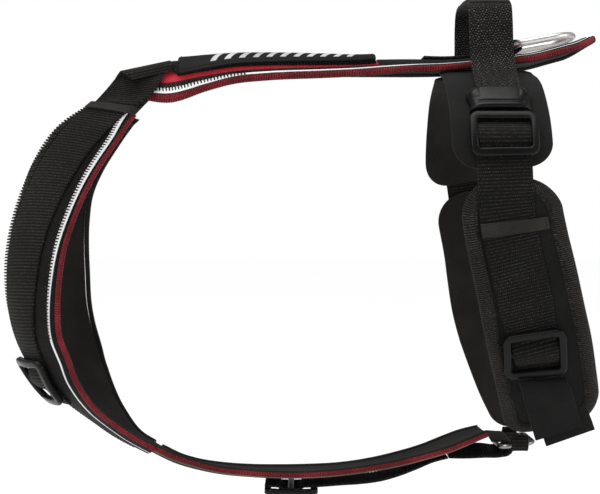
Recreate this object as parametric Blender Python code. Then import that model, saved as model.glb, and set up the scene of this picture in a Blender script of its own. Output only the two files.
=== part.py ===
"""A padded Y-shaped dog harness for a large dog, in the hollow shape it has when it is worn.

The dog's head points to -X, its back to +Z, and the side with the plain view is -Y. The origin is
the middle of the back pad's underside. Tables are in millimetres; the scene is in metres.

Every strap and pad is a wall on a smooth surface. A surface runs through the rows of a short table,
and a point on it has three numbers: the station along the strap (0 to 1), the side (mm from the
middle line, positive towards the table's second edge) and the height (mm out of the surface).
"""

import math

import bpy
import numpy as np
from mathutils import Matrix, Vector

MM = 0.001
GAP = 0.4  # between neighbouring pieces
PAD_THICKNESS = 5.0  # back, shoulder and belly pads
GIRTH_PAD_THICKNESS = 4.0
WEBBING = 1.7  # thickness of all webbing
BINDING_WIDTH = 4.0
BINDING_THICKNESS = 5.6
SAMPLES = 400  # dense points that each surface is measured on

BACK_HALF_WIDTH = 26.0  # to the middle of the binding
BACK_FRONT_X = -115.0
BACK_ARCH_POWER = 3.0  # a flat crown with steep sides
BACK_REAR_X = 229.0
LABEL_SPAN_X = (-87.0, 58.0)
LABEL_HALF_WIDTH = 20.0
HANDLE_HALF_WIDTH = 16.0
RING_BAR_X = 167.0
RING_HALF_WIDTH = 20.0
RING_LENGTH = 46.0
RING_WIRE = 2.4  # radius of the leash ring's wire
RING_TAB_HALF_WIDTH = 12.5

BELLY_HALF_WIDTH = 25.0
BELLY_WEBBING_HALF_WIDTH = 17.0
SHOULDER_WEBBING_HALF_WIDTH = 15.5
GIRTH_WEBBING_HALF_WIDTH = 19.0
UPPER_PAD_HALF_WIDTH = 35.0
UPPER_PAD_END_Z = -86.0
LOWER_PAD_SPAN_Z = (-93.5, -278.5)
RIM_WIDTH = 11.0  # raised border of the lower girth pad
SOCKET_SPAN_Z = (-33.5, -48.5)
BUCKLE_FRAME_Z = -64.5
GIRTH_SLIDE_Z = -215.0
SLIDE_TURN = math.radians(7.0)  # the girth slide sits askew on its strap
BAR_RISE = 4.7  # webbing climbs this far over a slide's middle bar
KEEPER_Z = -127.0

# Back pad, head to tail: height of the two edges and how far the middle arches over the spine.
BACK_ROWS = [  # x, near_z, far_z, arch
    (-124, -30.2, -23.0, 17.5),
    (-117, -29.6, -21.6, 19.0),
    (-95, -27.6, -18.0, 21.3),
    (-72, -20.6, -10.8, 16.2),
    (-49, -15.0, -6.0, 12.5),
    (-26, -12.8, -3.8, 10.5),
    (19, -10.9, -2.4, 8.0),
    (42, -9.8, -2.6, 6.8),
    (64, -8.2, -2.6, 6.4),
    (87, -6.7, -2.6, 5.6),
    (110, -5.6, -2.2, 4.2),
    (155, -1.0, 0.8, 4.2),
    (178, 1.8, 2.6, 4.6),
    (200, 7.3, 8.3, 4.8),
    (224, 13.6, 14.8, 4.6),
    (234, 16.2, 17.6, 4.5),
]

# Shoulder pads, withers to breastbone: the rear (binding) edge, the front edge and the arch. Both
# tables have the near side's signs. The far strap leans forward where it passes behind the near one.
NEAR_SHOULDER_ROWS = [  # rear x, y, z, front x, y, z, arch
    (-114.5, -31, -37, -159.5, -19, -33, 2.5),
    (-128, -34, -58, -183, -20, -49, 4.0),
    (-144, -38, -81, -198.5, -22, -73, 5.5),
    (-154, -43, -99, -207, -24, -94, 6.5),
    (-163, -49, -120, -214, -26, -117, 7.0),
    (-170, -55, -143, -218.5, -28, -142, 7.0),
    (-173, -60, -165, -219.5, -29, -164, 7.0),
    (-173.5, -64, -187, -218, -27, -186, 7.0),
    (-172, -66, -205, -214, -21, -206, 6.5),
    (-166, -64, -223, -206.5, -13, -226, 6.0),
    (-161, -59, -240, -195.5, -6, -244, 5.0),
    (-150, -52, -257.5, -181, -2.7, -258.5, 3.0),
    (-137.5, -41, -271.5, -163, -2.5, -272, 2.0),
    (-124, -32.5, -283, -143, -2.5, -286, 1.5),
    (-109, -28, -292.8, -119, -2.5, -298.6, 1.0),
]
FAR_SHOULDER_ROWS = [  # rear x, y, z, front x, y, z, arch
    (-127.5, -31, -37, -166.5, -19, -33, 2.5),
    (-144.5, -34, -58, -192, -20, -49, 4.0),
    (-160, -38, -81, -208.5, -22, -73, 5.5),
    (-168.5, -43, -99, -217, -24, -94, 6.5),
    (-172.5, -49, -120, -221, -26, -117, 7.0),
    (-174, -55, -143, -221.5, -28, -142, 7.0),
    (-174, -60, -165, -220.5, -29, -164, 7.0),
    (-173.5, -64, -187, -218, -27, -186, 7.0),
    (-170, -66, -205, -214, -21, -206, 6.5),
    (-165, -64, -223, -206.5, -13, -226, 6.0),
    (-159.5, -59, -240, -195.5, -6, -244, 5.0),
    (-151.5, -50, -257.5, -181, -2.7, -258.5, 3.0),
    (-141.5, -40, -273.5, -163, -2.5, -272, 2.0),
    (-128, -32.5, -290, -143, -2.5, -286, 1.5),
    (-109, -28, -301, -119, -2.5, -298.6, 1.0),
]

# Belly pad, breastbone to girth: height of the two edges and how far the middle sags.
BELLY_ROWS = [  # x, near_z, far_z, arch
    (-121, -285.6, -295.5, 3.2),
    (-107, -293.8, -302.3, 3.2),
    (-95, -299.3, -308.0, 3.2),
    (-83, -303.2, -311.6, 3.2),
    (-60, -309.0, -315.2, 3.0),
    (-38, -311.4, -316.6, 3.0),
    (-15, -312.8, -316.8, 3.0),
    (8, -312.7, -316.4, 3.0),
    (30, -311.0, -315.2, 3.0),
    (53, -307.9, -312.0, 3.0),
    (76, -303.8, -306.8, 3.0),
    (98, -298.1, -300.2, 3.0),
    (113, -293.8, -294.2, 2.8),
    (127, -288.2, -289.0, 2.5),
    (142, -281.8, -285.4, 2.0),
]

# Girth strap, from under the back pad to the ring below the chest: its middle line on the near
# side, and the x of its middle line on the far side.
GIRTH_ROWS = [  # near x, y, z, far x
    (141, -16, -7.6, 142),
    (141, -27, -11.6, 142),
    (141, -40, -15.4, 142),
    (141, -57, -23, 142),
    (141, -75, -38, 142.3),
    (141, -88, -54, 142.6),
    (141, -95.5, -71, 143.2),
    (141.5, -97.5, -91, 146),
    (143, -96, -116, 149.5),
    (148, -91, -141, 153.5),
    (155, -84, -166, 156.5),
    (162, -75, -191, 160),
    (169.5, -64, -216, 166),
    (176, -50, -239, 172),
    (181, -38, -256, 177),
    (185, -27, -270, 182),
    (187, -20, -279, 185),
]

# Carrying handle, far buckle over the back to the near buckle: its middle line.
HANDLE_ROWS = [  # x, y, z
    (142.5, 72.0, -28.4),
    (142.5, 67.0, -24.0),
    (142.5, 60, -18.4),
    (142.5, 50.5, -8),
    (142.5, 47.5, 6),
    (142.5, 47, 22),
    (142.5, 46, 38),
    (142.5, 42, 46.5),
    (142.4, 34, 49.6),
    (142.2, 18, 48.8),
    (141.8, 0, 47.3),
    (141.5, -18, 45),
    (141.4, -31, 43),
    (141.4, -39.5, 37.5),
    (141.4, -43, 27.5),
    (141.8, -44, 10),
    (142.2, -47.5, -4),
    (142.5, -55, -14),
    (142.5, -67.0, -24.0),
    (142.5, -72.0, -28.4),
]

# Webbing loop at the withers, from its sewn flap over the fold and down to the shoulder pad.
WITHERS_ROWS = [  # rear x, y, z, front x, y, z
    (-97.0, -24.0, -7.2, -126.5, -31.5, -15.2),
    (-97.2, -22.5, -1.9, -131.8, -31.0, -11.0),
    (-99.2, -18.8, 0.4, -135.2, -27.5, -8.8),
    (-102.0, -20.6, -3.8, -138.6, -23.5, -11.6),
    (-104.3, -28.0, -14.0, -145.0, -22.0, -19.2),
    (-112.0, -31.5, -26.6, -154.0, -21.5, -29.2),
]
FAR_WITHERS_RISE = 0.28  # the far loop is higher by this share of its y, as the back pad is
FAR_WITHERS_SHIFT = (0.0, 0.0, 0.0, -1.0, -4.5, -11.0)  # and leans forward, row by row

# Adjusting webbing under the belly pad: its middle line.
BELLY_WEBBING_ROWS = [  # x, z
    (-27, -323.4),
    (-8, -324.2),
    (15, -323.6),
    (31, -322.4),
    (46, -321.4),
    (61, -319.4),
    (76, -315.2),
    (88, -310.6),
    (102, -304.8),
    (113, -301.9),
]

# Webbing loop at the belly pad's rear end, round the front bar of the ring.
BELLY_LOOP_ROWS = [  # x, near_z, far_z
    (114, -302.2, -300.4),
    (126, -302.6, -297.2),
    (142, -302.0, -296.2),
    (153, -301.6, -297.2),
    (160.5, -299.6, -295.2),
    (163, -295.5, -291.5),
    (160, -290.7, -287.6),
    (153, -289.7, -286.7),
    (146.5, -289.4, -286.2),
]

# Strap end that hangs free below the near girth slider, and the folded end behind it.
LOOSE_END_ROWS = [  # x, y, z
    (177, -67.6, -243),
    (181, -69.2, -258),
    (186, -69.2, -275),
]
FOLDED_END_ROWS = [  # x, y, z
    (188.7, -66.0, -262),
    (192, -66.2, -270),
    (195, -66.0, -278.5),
]

# Near webbing that joins the girth pad's lower end to the side bar of the ring.
RING_LINK_ROWS = [  # y, z
    (-20.8, -284.6),
    (-23.7, -287.6),
    (-24.4, -291.2),
    (-22.4, -294.7),
    (-18.9, -294.9),
    (-16.2, -292.0),
    (-16.2, -288.0),
]
RING_LINK_X = 167.0
BELLY_RING_CENTRE = (165.0, 0.0, -291.5)
BELLY_RING_HALF_LENGTHS = (13.0, 20.2)
BELLY_RING_WIRE = 1.8
BELLY_RING_PITCH = math.radians(8.0)

# Reach of the lower girth pad's edges from the strap's middle line.
LOWER_PAD_REACH = [  # z, front, rear
    (-93, 31.0, 38.5),
    (-150, 31.0, 40.5),
    (-211, 33.0, 41.5),
    (-248, 32.0, 41.5),
    (-280, 30.5, 41.0),
]

FINISHES = {  # colour r, g, b, roughness, metallic
    "black_fabric": (0.020, 0.020, 0.021, 0.85, 0.0),
    "black_webbing": (0.026, 0.026, 0.027, 0.70, 0.0),
    "red_binding": (0.330, 0.022, 0.035, 0.70, 0.0),
    "red_fabric": (0.520, 0.025, 0.045, 0.65, 0.0),
    "grey_trim": (0.160, 0.160, 0.165, 0.50, 0.0),
    "hook_patch": (0.012, 0.012, 0.013, 0.90, 0.0),
    "black_plastic": (0.018, 0.018, 0.019, 0.35, 0.0),
    "steel": (0.720, 0.720, 0.700, 0.18, 1.0),
}


def clear_scene():
    for obj in list(bpy.data.objects):
        bpy.data.objects.remove(obj, do_unlink=True)


def new_collection(name, helper=False):
    collection = bpy.data.collections.new(name)
    bpy.context.scene.collection.children.link(collection)
    collection.hide_render = helper
    return collection


def finish(name):
    """The material of this name, made on its first use."""
    known = bpy.data.materials.get(name)
    if known:
        return known
    red, green, blue, roughness, metallic = FINISHES[name]
    material = bpy.data.materials.new(name)
    material.use_nodes = True
    shader = material.node_tree.nodes["Principled BSDF"]
    shader.inputs["Base Color"].default_value = (red, green, blue, 1.0)
    shader.inputs["Roughness"].default_value = roughness
    shader.inputs["Metallic"].default_value = metallic
    return material


def smooth_curve(rows, count):
    """Points on a smooth curve through the rows, evenly spread by row distance (Catmull-Rom)."""
    rows = np.asarray(rows, float)
    steps = np.linalg.norm(np.diff(rows[:, : min(6, rows.shape[1])], axis=0), axis=1)
    knots = np.concatenate([[0.0], np.cumsum(steps)])
    slopes = np.gradient(rows, knots, axis=0)
    places = np.linspace(0.0, knots[-1], count)
    cell = np.clip(np.searchsorted(knots, places, side="right") - 1, 0, len(knots) - 2)
    width = (knots[cell + 1] - knots[cell])[:, None]
    t = ((places - knots[cell])[:, None]) / width
    return (
        (2 * t**3 - 3 * t**2 + 1) * rows[cell]
        + (t**3 - 2 * t**2 + t) * width * slopes[cell]
        + (3 * t**2 - 2 * t**3) * rows[cell + 1]
        + (t**3 - t**2) * width * slopes[cell + 1]
    )


def unit(vectors):
    return vectors / np.linalg.norm(vectors, axis=-1, keepdims=True)


class Surface:
    """A strap's middle surface: two edges, and an arch between them that bulges outwards.

    twin is the near-handed surface that the far side is mirrored from.
    """

    def __init__(self, first_edge, second_edge, arch, power=2.0):
        middle = (first_edge + second_edge) / 2
        steps = np.linalg.norm(np.diff(middle, axis=0), axis=1)
        self.length = steps.sum()
        along = np.concatenate([[0.0], np.cumsum(steps)]) / self.length
        self.stations = np.linspace(0.0, 1.0, SAMPLES)
        self.middle = self.resampled(along, middle)
        self.reach = self.resampled(along, (second_edge - first_edge) / 2)
        self.arch = np.interp(self.stations, along, arch)
        self.power = power
        self.half = np.linalg.norm(self.reach, axis=1)
        self.across = unit(self.reach)
        self.normal = unit(np.cross(self.across, np.gradient(self.middle, axis=0)))
        self.twin = self

    def resampled(self, along, columns):
        return np.stack([np.interp(self.stations, along, c) for c in columns.T], axis=1)

    def read(self, values, station):
        if values.ndim == 1:
            return np.interp(station, self.stations, values)
        return np.stack([np.interp(station, self.stations, c) for c in values.T], axis=-1)

    def find(self, axis, value):
        """The station where the middle line has this x, y or z."""
        column = self.middle[:, axis]
        order = np.argsort(column)
        return float(np.interp(value, column[order], self.stations[order]))

    def on_middle(self, station, side):
        """Points on the surface itself. A strap may run straight on for a little past its ends."""
        ratio = np.abs(side) / self.read(self.half, station)
        bulge = self.read(self.arch, station) * (1 - ratio**self.power)
        return (
            self.read(self.middle, station)
            + self.read(self.across, station) * side[..., None]
            + self.read(self.normal, station) * bulge[..., None]
        )

    def place(self, station, side, height):
        """Points in millimetres, height out of the surface. The three inputs broadcast."""
        station, side, height = np.broadcast_arrays(
            np.asarray(station, float), np.asarray(side, float), np.asarray(height, float)
        )
        station = np.clip(station, 0.0, 1.0)
        step = 1.5 / SAMPLES
        ahead, behind = np.clip(station + step, 0.0, 1.0), np.clip(station - step, 0.0, 1.0)
        along = self.on_middle(ahead, side) - self.on_middle(behind, side)
        beside = self.on_middle(station, side + 0.25) - self.on_middle(station, side - 0.25)
        out = unit(np.cross(beside, along))
        return self.on_middle(station, side) + out * height[..., None]

    def inset(self, stations, sign, distance):
        """Sides that are this far in from one edge, measured square to the edge."""
        half = self.read(self.half, stations)
        edge = self.on_middle(stations, sign * half)
        along = unit(np.gradient(edge, axis=0))
        lean = np.abs((along * self.read(self.across, stations)).sum(axis=1))
        return sign * (half - distance / np.sqrt(1 - np.minimum(lean, 0.8) ** 2))


def surface_from_edges(rows):
    """From rows of first edge x, y, z, second edge x, y, z and an optional arch."""
    curve = smooth_curve(rows, SAMPLES)
    arch = curve[:, 6] if curve.shape[1] > 6 else np.zeros(len(curve))
    return Surface(curve[:, :3], curve[:, 3:6], arch)


def surface_from_profile(rows, half_width, outward):
    """From rows of x, near z, far z and arch. outward is +1 on the back and -1 on the belly."""
    x, near_z, far_z, arch = smooth_curve(rows, SAMPLES).T
    near = np.stack([x, np.full_like(x, -half_width), near_z], axis=1)
    far = np.stack([x, np.full_like(x, half_width), far_z], axis=1)
    if outward > 0:
        return Surface(far, near, arch, BACK_ARCH_POWER)
    return Surface(near, far, arch)


def surface_from_line(rows, half_width, across):
    """A flat ribbon along a middle line, its width square to the line and nearest to across."""
    middle = smooth_curve(rows, SAMPLES)
    direction = unit(np.gradient(middle, axis=0))
    across = np.asarray(across, float)
    reach = unit(across - direction * (direction @ across)[:, None]) * half_width
    return Surface(middle - reach, middle + reach, np.zeros(SAMPLES))


def add_object(name, points, faces, material, smooth_angle=35.0):
    """A named object in metres from millimetre points."""
    mesh = bpy.data.meshes.new(name)
    mesh.from_pydata((np.asarray(points) * MM).tolist(), [], [list(f) for f in faces])
    mesh.validate()
    mesh.shade_smooth()
    mesh.set_sharp_from_angle(angle=math.radians(smooth_angle))
    mesh.materials.append(finish(material))
    obj = bpy.data.objects.new(name, mesh)
    HARNESS.objects.link(obj)
    return obj


def wall_mesh(surface, stations, sides, low, high):
    """Points and faces of a closed wall over a grid: stations run along it, sides across it.

    sides, low and high may be one row or one row for each station.
    """
    stations = np.asarray(stations, float)
    shape = (len(stations), np.shape(sides)[-1])
    if stations.ndim == 1:
        stations = np.repeat(stations[:, None], shape[1], axis=1)
    sides, low, high = (np.broadcast_to(np.asarray(a, float), shape) for a in (sides, low, high))
    top = surface.place(stations, sides, high)
    bottom = surface.place(stations, sides, low)
    loops = np.concatenate([top, bottom[:, ::-1]], axis=1)
    rows, columns = shape
    around = 2 * columns
    here = np.arange(rows - 1)[:, None] * around + np.arange(around)
    turn = np.arange(rows - 1)[:, None] * around + (np.arange(around) + 1) % around
    skin = np.stack([here, turn, turn + around, here + around], axis=-1).reshape(-1, 4)
    left = np.arange(columns - 1)
    start = np.stack([around - 1 - left, around - 2 - left, left + 1, left], axis=1)
    end = start[:, ::-1] + (rows - 1) * around
    return loops.reshape(-1, 3), np.concatenate([skin, start, end])


def mirrored(points, faces):
    """The far side's copy: the other sign of y, with its faces turned to keep facing out."""
    return points * [1.0, -1.0, 1.0], [list(face)[::-1] for face in faces]


def add_wall(name, material, surface, stations, sides, low, high, pair=False):
    """A closed wall as one object, or as a near and far pair."""
    points, faces = wall_mesh(surface, stations, sides, low, high)
    if not pair:
        return [add_object(name, points, faces, material)]
    far_points, far_faces = mirrored(*wall_mesh(surface.twin, stations, sides, low, high))
    return [
        add_object(name + "_near", points, faces, material),
        add_object(name + "_far", far_points, far_faces, material),
    ]


def rounded_reach(along, length, half, start_radius, end_radius):
    """Half widths along a pad whose corners are quarter circles at both ends."""
    inset = np.zeros_like(along)
    for distance, radius in ((along, start_radius), (length - along, end_radius)):
        if radius > 0:
            short = np.clip(radius - distance, 0.0, radius)
            inset = np.maximum(inset, radius - np.sqrt(np.maximum(radius**2 - short**2, 0.0)))
    return half - inset


def spread(start, end, count, ends=0.0):
    """Stations from start to end, crowded towards both ends when ends is near 1."""
    even = np.linspace(0.0, 1.0, count)
    crowded = 0.5 - 0.5 * np.cos(np.pi * even)
    return start + (end - start) * ((1 - ends) * even + ends * crowded)


def rail_mesh(line, out, radii, closed, corners=6):
    """An oval bar along a line: radii are its half sizes square to out and along out."""
    line, out = np.asarray(line), np.asarray(out)
    if closed:
        direction = np.roll(line, -1, axis=0) - np.roll(line, 1, axis=0)
    else:
        direction = np.gradient(line, axis=0)
    direction = unit(direction)
    out = unit(out - direction * (out * direction).sum(axis=1)[:, None])
    beside = np.cross(direction, out)
    turn = 2 * np.pi * (np.arange(corners) + 0.5) / corners
    ring = (
        line[:, None]
        + beside[:, None] * (radii[0] * np.cos(turn))[:, None]
        + out[:, None] * (radii[1] * np.sin(turn))[:, None]
    )
    rows = len(line)
    here = np.arange(rows)[:, None] * corners + np.arange(corners)
    turned = np.arange(rows)[:, None] * corners + (np.arange(corners) + 1) % corners
    ahead, ahead_turned = np.roll(here, -1, axis=0), np.roll(turned, -1, axis=0)
    last = rows if closed else rows - 1
    skin = np.stack([here, turned, ahead_turned, ahead], axis=-1)[:last].reshape(-1, 4).tolist()
    if not closed:
        skin.append(list(range(corners))[::-1])
        skin.append([(rows - 1) * corners + i for i in range(corners)])
    return ring.reshape(-1, 3), skin


def facing_out(points, faces):
    """The faces, all turned round if the closed mesh is inside out."""
    volume = 0.0
    for face in faces:
        a, b, c = (points[face[i]] for i in (0, 1, 2))
        volume += np.dot(a, np.cross(b, c))
        if len(face) > 3:
            for i in range(2, len(face) - 1):
                volume += np.dot(a, np.cross(points[face[i]], points[face[i + 1]]))
    return faces if volume > 0 else [list(face)[::-1] for face in faces]


def add_rail(name, material, line, out, radii, closed=False, corners=6):
    points, faces = rail_mesh(line, out, radii, closed, corners)
    return add_object(name, points, facing_out(points, faces), material, 50.0)


def add_surface_rail(name, material, surface, stations, sides, height, radii, closed=False, corners=6):
    """A near and far pair of rails whose line lies on the surface and on its twin."""
    near, far = (surface_line(s, stations, sides, height) for s in (surface, surface.twin))
    flip = [1.0, -1.0, 1.0]
    return [
        add_rail(name + "_near", material, *near, radii, closed, corners),
        add_rail(name + "_far", material, far[0] * flip, far[1] * flip, radii, closed, corners),
    ]


def surface_line(surface, stations, sides, height):
    """A line on a surface, and the outward direction along it."""
    line = surface.place(stations, sides, height)
    return line, surface.place(stations, sides, np.asarray(height) + 1.0) - line


def rounded_rectangle(half_along, half_across, radius, steps=3):
    """Offsets round a rectangle with round corners, as along and across columns."""
    turns = np.linspace(0.0, np.pi / 2, steps)
    corners = ((1, 1, 0.0), (-1, 1, 0.5), (-1, -1, 1.0), (1, -1, 1.5))
    arcs = []
    for along, across, quarter in corners:
        angle = turns + quarter * np.pi
        centre = np.array([along * (half_along - radius), across * (half_across - radius)])
        arcs.append(centre + radius * np.stack([np.cos(angle), np.sin(angle)], axis=1))
    rows = []
    for arc, following in zip(arcs, arcs[1:] + arcs[:1]):
        rows.append(arc)
        rows.append(arc[-1] + (following[0] - arc[-1]) * np.array([[0.25], [0.5], [0.75]]))
    return np.concatenate(rows)


def join_bar(frames, bars):
    """Each frame gets its bar by a Boolean union; the bar becomes a hidden helper."""
    for frame, bar in zip(frames, bars):
        HARNESS.objects.unlink(bar)
        HELPERS.objects.link(bar)
        bar.hide_render = True
        bar.display_type = "WIRE"
        modifier = frame.modifiers.new("bar", "BOOLEAN")
        modifier.operation = "UNION"
        modifier.solver = "EXACT"
        modifier.object = bar


def add_slide(name, surface, station, side, half_along, half_across, height, pair=True, turn=0.0):
    """A slide: a rounded frame round the webbing and a middle bar under it."""
    cos, sin = math.cos(turn), math.sin(turn)

    def turned(along, across):
        """Stations and sides of offsets that are turned on the surface."""
        return station + (along * cos - across * sin) / surface.length, side + along * sin + across * cos

    corners = rounded_rectangle(half_along, half_across, 5.0)
    stations, sides = turned(corners[:, 0], corners[:, 1])
    if pair:
        frames = add_surface_rail(
            name, "black_plastic", surface, stations, sides, height, (2.2, 2.6), True
        )
    else:
        line, out = surface_line(surface, stations, sides, height)
        frames = [add_rail(name, "black_plastic", line, out, (2.2, 2.6), True)]
    reach = half_across - 0.4
    stations, sides = turned(np.linspace(-2.2, 2.2, 3)[:, None], np.linspace(-reach, reach, 5))
    bars = add_wall(
        name + "_bar", "black_plastic", surface, stations, sides, height - 3.8, height - 1.6, pair
    )
    join_bar(frames, bars)


def hump(stations, sides, surface, centre, half_along, turn=0.0):
    """Extra height of webbing that climbs over a slide's middle bar, for a grid of points."""
    distance = (stations[:, None] - centre) * surface.length + sides * math.tan(turn)
    return BAR_RISE * np.clip(1 - (distance / half_along) ** 2, 0.0, 1.0) ** 1.2


def build_back(back):
    """Pad, its red binding, and the patch that the label is fixed to."""
    start, end = back.find(0, BACK_FRONT_X), back.find(0, BACK_REAR_X)
    rim = BINDING_WIDTH / 2 + GAP

    def outline(stations, half, end_radius):
        """Half widths: the front tapers, the tail is round."""
        along = (stations - stations[0]) * back.length
        taper = 1.2 * np.clip(1 - along / 20.0, 0.0, 1.0) ** 2
        return rounded_reach(along, along[-1], half, 0.0, end_radius) - taper

    stations = spread(start, end - (rim + BINDING_WIDTH / 2) / back.length, 28, 0.45)
    reach = outline(stations, BACK_HALF_WIDTH - rim, 21.0 - rim)
    across = np.array([-1.0, -0.9, -0.7, -0.42, 0.0, 0.42, 0.7, 0.9, 1.0])
    height = np.full(9, PAD_THICKNESS / 2)
    height[[0, -1]] *= 0.7
    add_wall("back_pad", "red_fabric", back, stations, reach[:, None] * across, -height, height)

    stations = spread(start, end - BINDING_WIDTH / 2 / back.length, 28, 0.45)
    reach = outline(stations, BACK_HALF_WIDTH, 21.0)
    corner = np.linspace(1.0, -1.0, 5)[1:-1] * reach[-1]
    sides = np.concatenate([reach, corner, -reach[::-1]])
    places = np.concatenate([stations, np.full(3, stations[-1]), stations[::-1]])
    line, out = surface_line(back, places, sides, 0.0)
    add_rail("back_binding", "red_binding", line, out, (BINDING_WIDTH / 2, BINDING_THICKNESS / 2))

    low, high = (back.find(0, x) for x in LABEL_SPAN_X)
    floor = PAD_THICKNESS / 2 + 1.0
    across = np.array([-1.0, -0.79, -0.47, 0.0, 0.47, 0.79, 1.0])
    before = np.array([15.0, 11.0, 8.0, 5.5, 3.2, 1.6])
    along = np.concatenate([low - before / back.length, spread(low, high, 10)])
    half = np.full(len(along), LABEL_HALF_WIDTH + 1.0)
    half[:5] = 6.0, 7.5, 8.5, 10.0, 13.0
    add_wall("label_base", "hook_patch", back, along, half[:, None] * across, floor, floor + 1.4)
    floor += 2.15
    add_wall(
        "label", "black_fabric", back, spread(low, high, 11), LABEL_HALF_WIDTH * across, floor, floor + 2.4
    )


def build_leash_ring(back):
    """A steel D ring lying back on the tail end of the pad, and the webbing tab that holds it."""
    bar = back.place(back.find(0, RING_BAR_X), 0.0, PAD_THICKNESS / 2 + 5.9)
    tail = back.place(back.find(0, RING_BAR_X + RING_LENGTH), 0.0, PAD_THICKNESS / 2 + 3.7)
    lie = unit(tail - bar)
    beside = np.array([0.0, 1.0, 0.0])
    up = np.cross(beside, lie) * -1.0
    straight = RING_LENGTH - RING_HALF_WIDTH
    shape = [(3.0, -RING_HALF_WIDTH), (straight * 0.5, -RING_HALF_WIDTH)]
    for angle in np.linspace(-np.pi / 2, np.pi / 2, 13):
        shape.append(
            (straight + RING_HALF_WIDTH * math.cos(angle), RING_HALF_WIDTH * math.sin(angle))
        )
    shape += [(straight * 0.5, RING_HALF_WIDTH), (3.0, RING_HALF_WIDTH)]
    shape += [(0.0, RING_HALF_WIDTH - 3.0), (0.0, 0.0), (0.0, 3.0 - RING_HALF_WIDTH)]
    line = np.array([bar + lie * a + beside * b for a, b in shape])
    out = np.tile(up, (len(line), 1))
    ring = add_rail("leash_ring", "steel", line, out, (RING_WIRE, RING_WIRE), True, 8)
    hinge = Vector(bar * MM)
    ring.data.transform(Matrix.Translation(-hinge))
    ring.location = hinge

    clear = RING_WIRE + GAP + 0.6 + WEBBING / 2
    height = PAD_THICKNESS / 2 + 1.4 + WEBBING / 2
    rows = [back.place(back.find(0, x), 0.0, height) for x in np.arange(95.0, 160.0, 7.0)]
    for angle in np.linspace(0.35, np.pi, 7):
        rows.append(bar + clear * (lie * math.sin(angle) - up * math.cos(angle)))
    rows += [rows[-1] - lie * d - up * (0.05 * d) for d in (6.0, 12.0)]
    tab = surface_from_line(rows, RING_TAB_HALF_WIDTH, (0.0, -1.0, -0.04))
    stations = np.linspace(0.0, 1.0, 34)
    sides = np.linspace(-1.0, 1.0, 3) * RING_TAB_HALF_WIDTH
    add_wall("ring_tab", "black_webbing", tab, stations, sides, -WEBBING / 2, WEBBING / 2)
    return bar


def build_handle():
    handle = surface_from_line(HANDLE_ROWS, HANDLE_HALF_WIDTH, (-1.0, 0.0, 0.0))
    stations = np.linspace(0.0, 1.0, 32)
    sides = np.array([-1.0, -0.9, 0.9, 1.0]) * HANDLE_HALF_WIDTH
    height = np.array([0.9, 1.5, 1.5, 0.9])
    add_wall("handle", "black_webbing", handle, stations, sides, -height, height)


def webbing_middle(station):
    """Where the webbing's middle lies across the shoulder pad, in mm."""
    return np.interp(station, [0.0, 0.14, 0.75, 1.0], [0.6, 6.8, 8.2, 6.0])


def build_shoulders():
    """The padded neck straps with their trims, keepers, webbing and chest slides."""
    shoulder = surface_from_edges(NEAR_SHOULDER_ROWS)
    shoulder.twin = surface_from_edges(FAR_SHOULDER_ROWS)
    stations = spread(0.0, 1.0, 28)

    def side(distance):
        """How far out a line may run that keeps this distance from both edges of both straps."""
        surfaces = (shoulder, shoulder.twin)
        return np.min([abs(s.inset(stations, e, distance)) for s in surfaces for e in (-1, 1)], axis=0)

    reach = side(BINDING_WIDTH + GAP + 0.2)
    across = np.array([-1.0, -0.9, -0.5, 0.0, 0.5, 0.9, 1.0])
    sides = reach[:, None] * across
    height = np.full(7, PAD_THICKNESS / 2)
    height[[0, -1]] *= 0.75
    add_wall("shoulder_pad", "black_fabric", shoulder, stations, sides, -height, height, True)

    radii = (BINDING_WIDTH / 2, BINDING_THICKNESS / 2)
    edge = side(BINDING_WIDTH / 2)
    add_surface_rail(
        "shoulder_binding", "red_binding", shoulder, stations, -edge, 0.0, radii
    )
    add_surface_rail(
        "shoulder_trim", "grey_trim", shoulder, stations[:25], edge[:25], 0.0, radii
    )

    floor = PAD_THICKNESS / 2 + 0.9
    slide = shoulder.find(2, -234.0)
    climb = slide + np.linspace(-12.0, 12.0, 12) / shoulder.length
    run = np.concatenate([spread(0.0, slide - 17.0 / shoulder.length, 17), climb])
    run = np.append(run, slide + np.array([17.5, 23.0]) / shoulder.length)
    sides = webbing_middle(run)[:, None] + np.linspace(-1.0, 1.0, 4) * SHOULDER_WEBBING_HALF_WIDTH
    low = floor + hump(run, sides, shoulder, slide, 10.0)
    add_wall("shoulder_webbing", "black_webbing", shoulder, run, sides, low, low + WEBBING, True)
    centre = float(webbing_middle(slide))
    add_slide("chest_slide", shoulder, slide, centre, 16.5, 19.0, floor + WEBBING + 3.6)

    band = spread(0.008, 0.008 + 6.5 / shoulder.length, 3)
    reach = np.array([-20.6, -15.5, -7.0, 1.0, 9.0, 16.4, 17.2])
    lift = floor + WEBBING + np.array([-1.2, 0.9, 0.9, 0.9, 0.9, 0.9, 0.5])
    add_wall("shoulder_keeper", "grey_trim", shoulder, band, reach, lift, lift + 1.2, True)
    return shoulder


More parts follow.
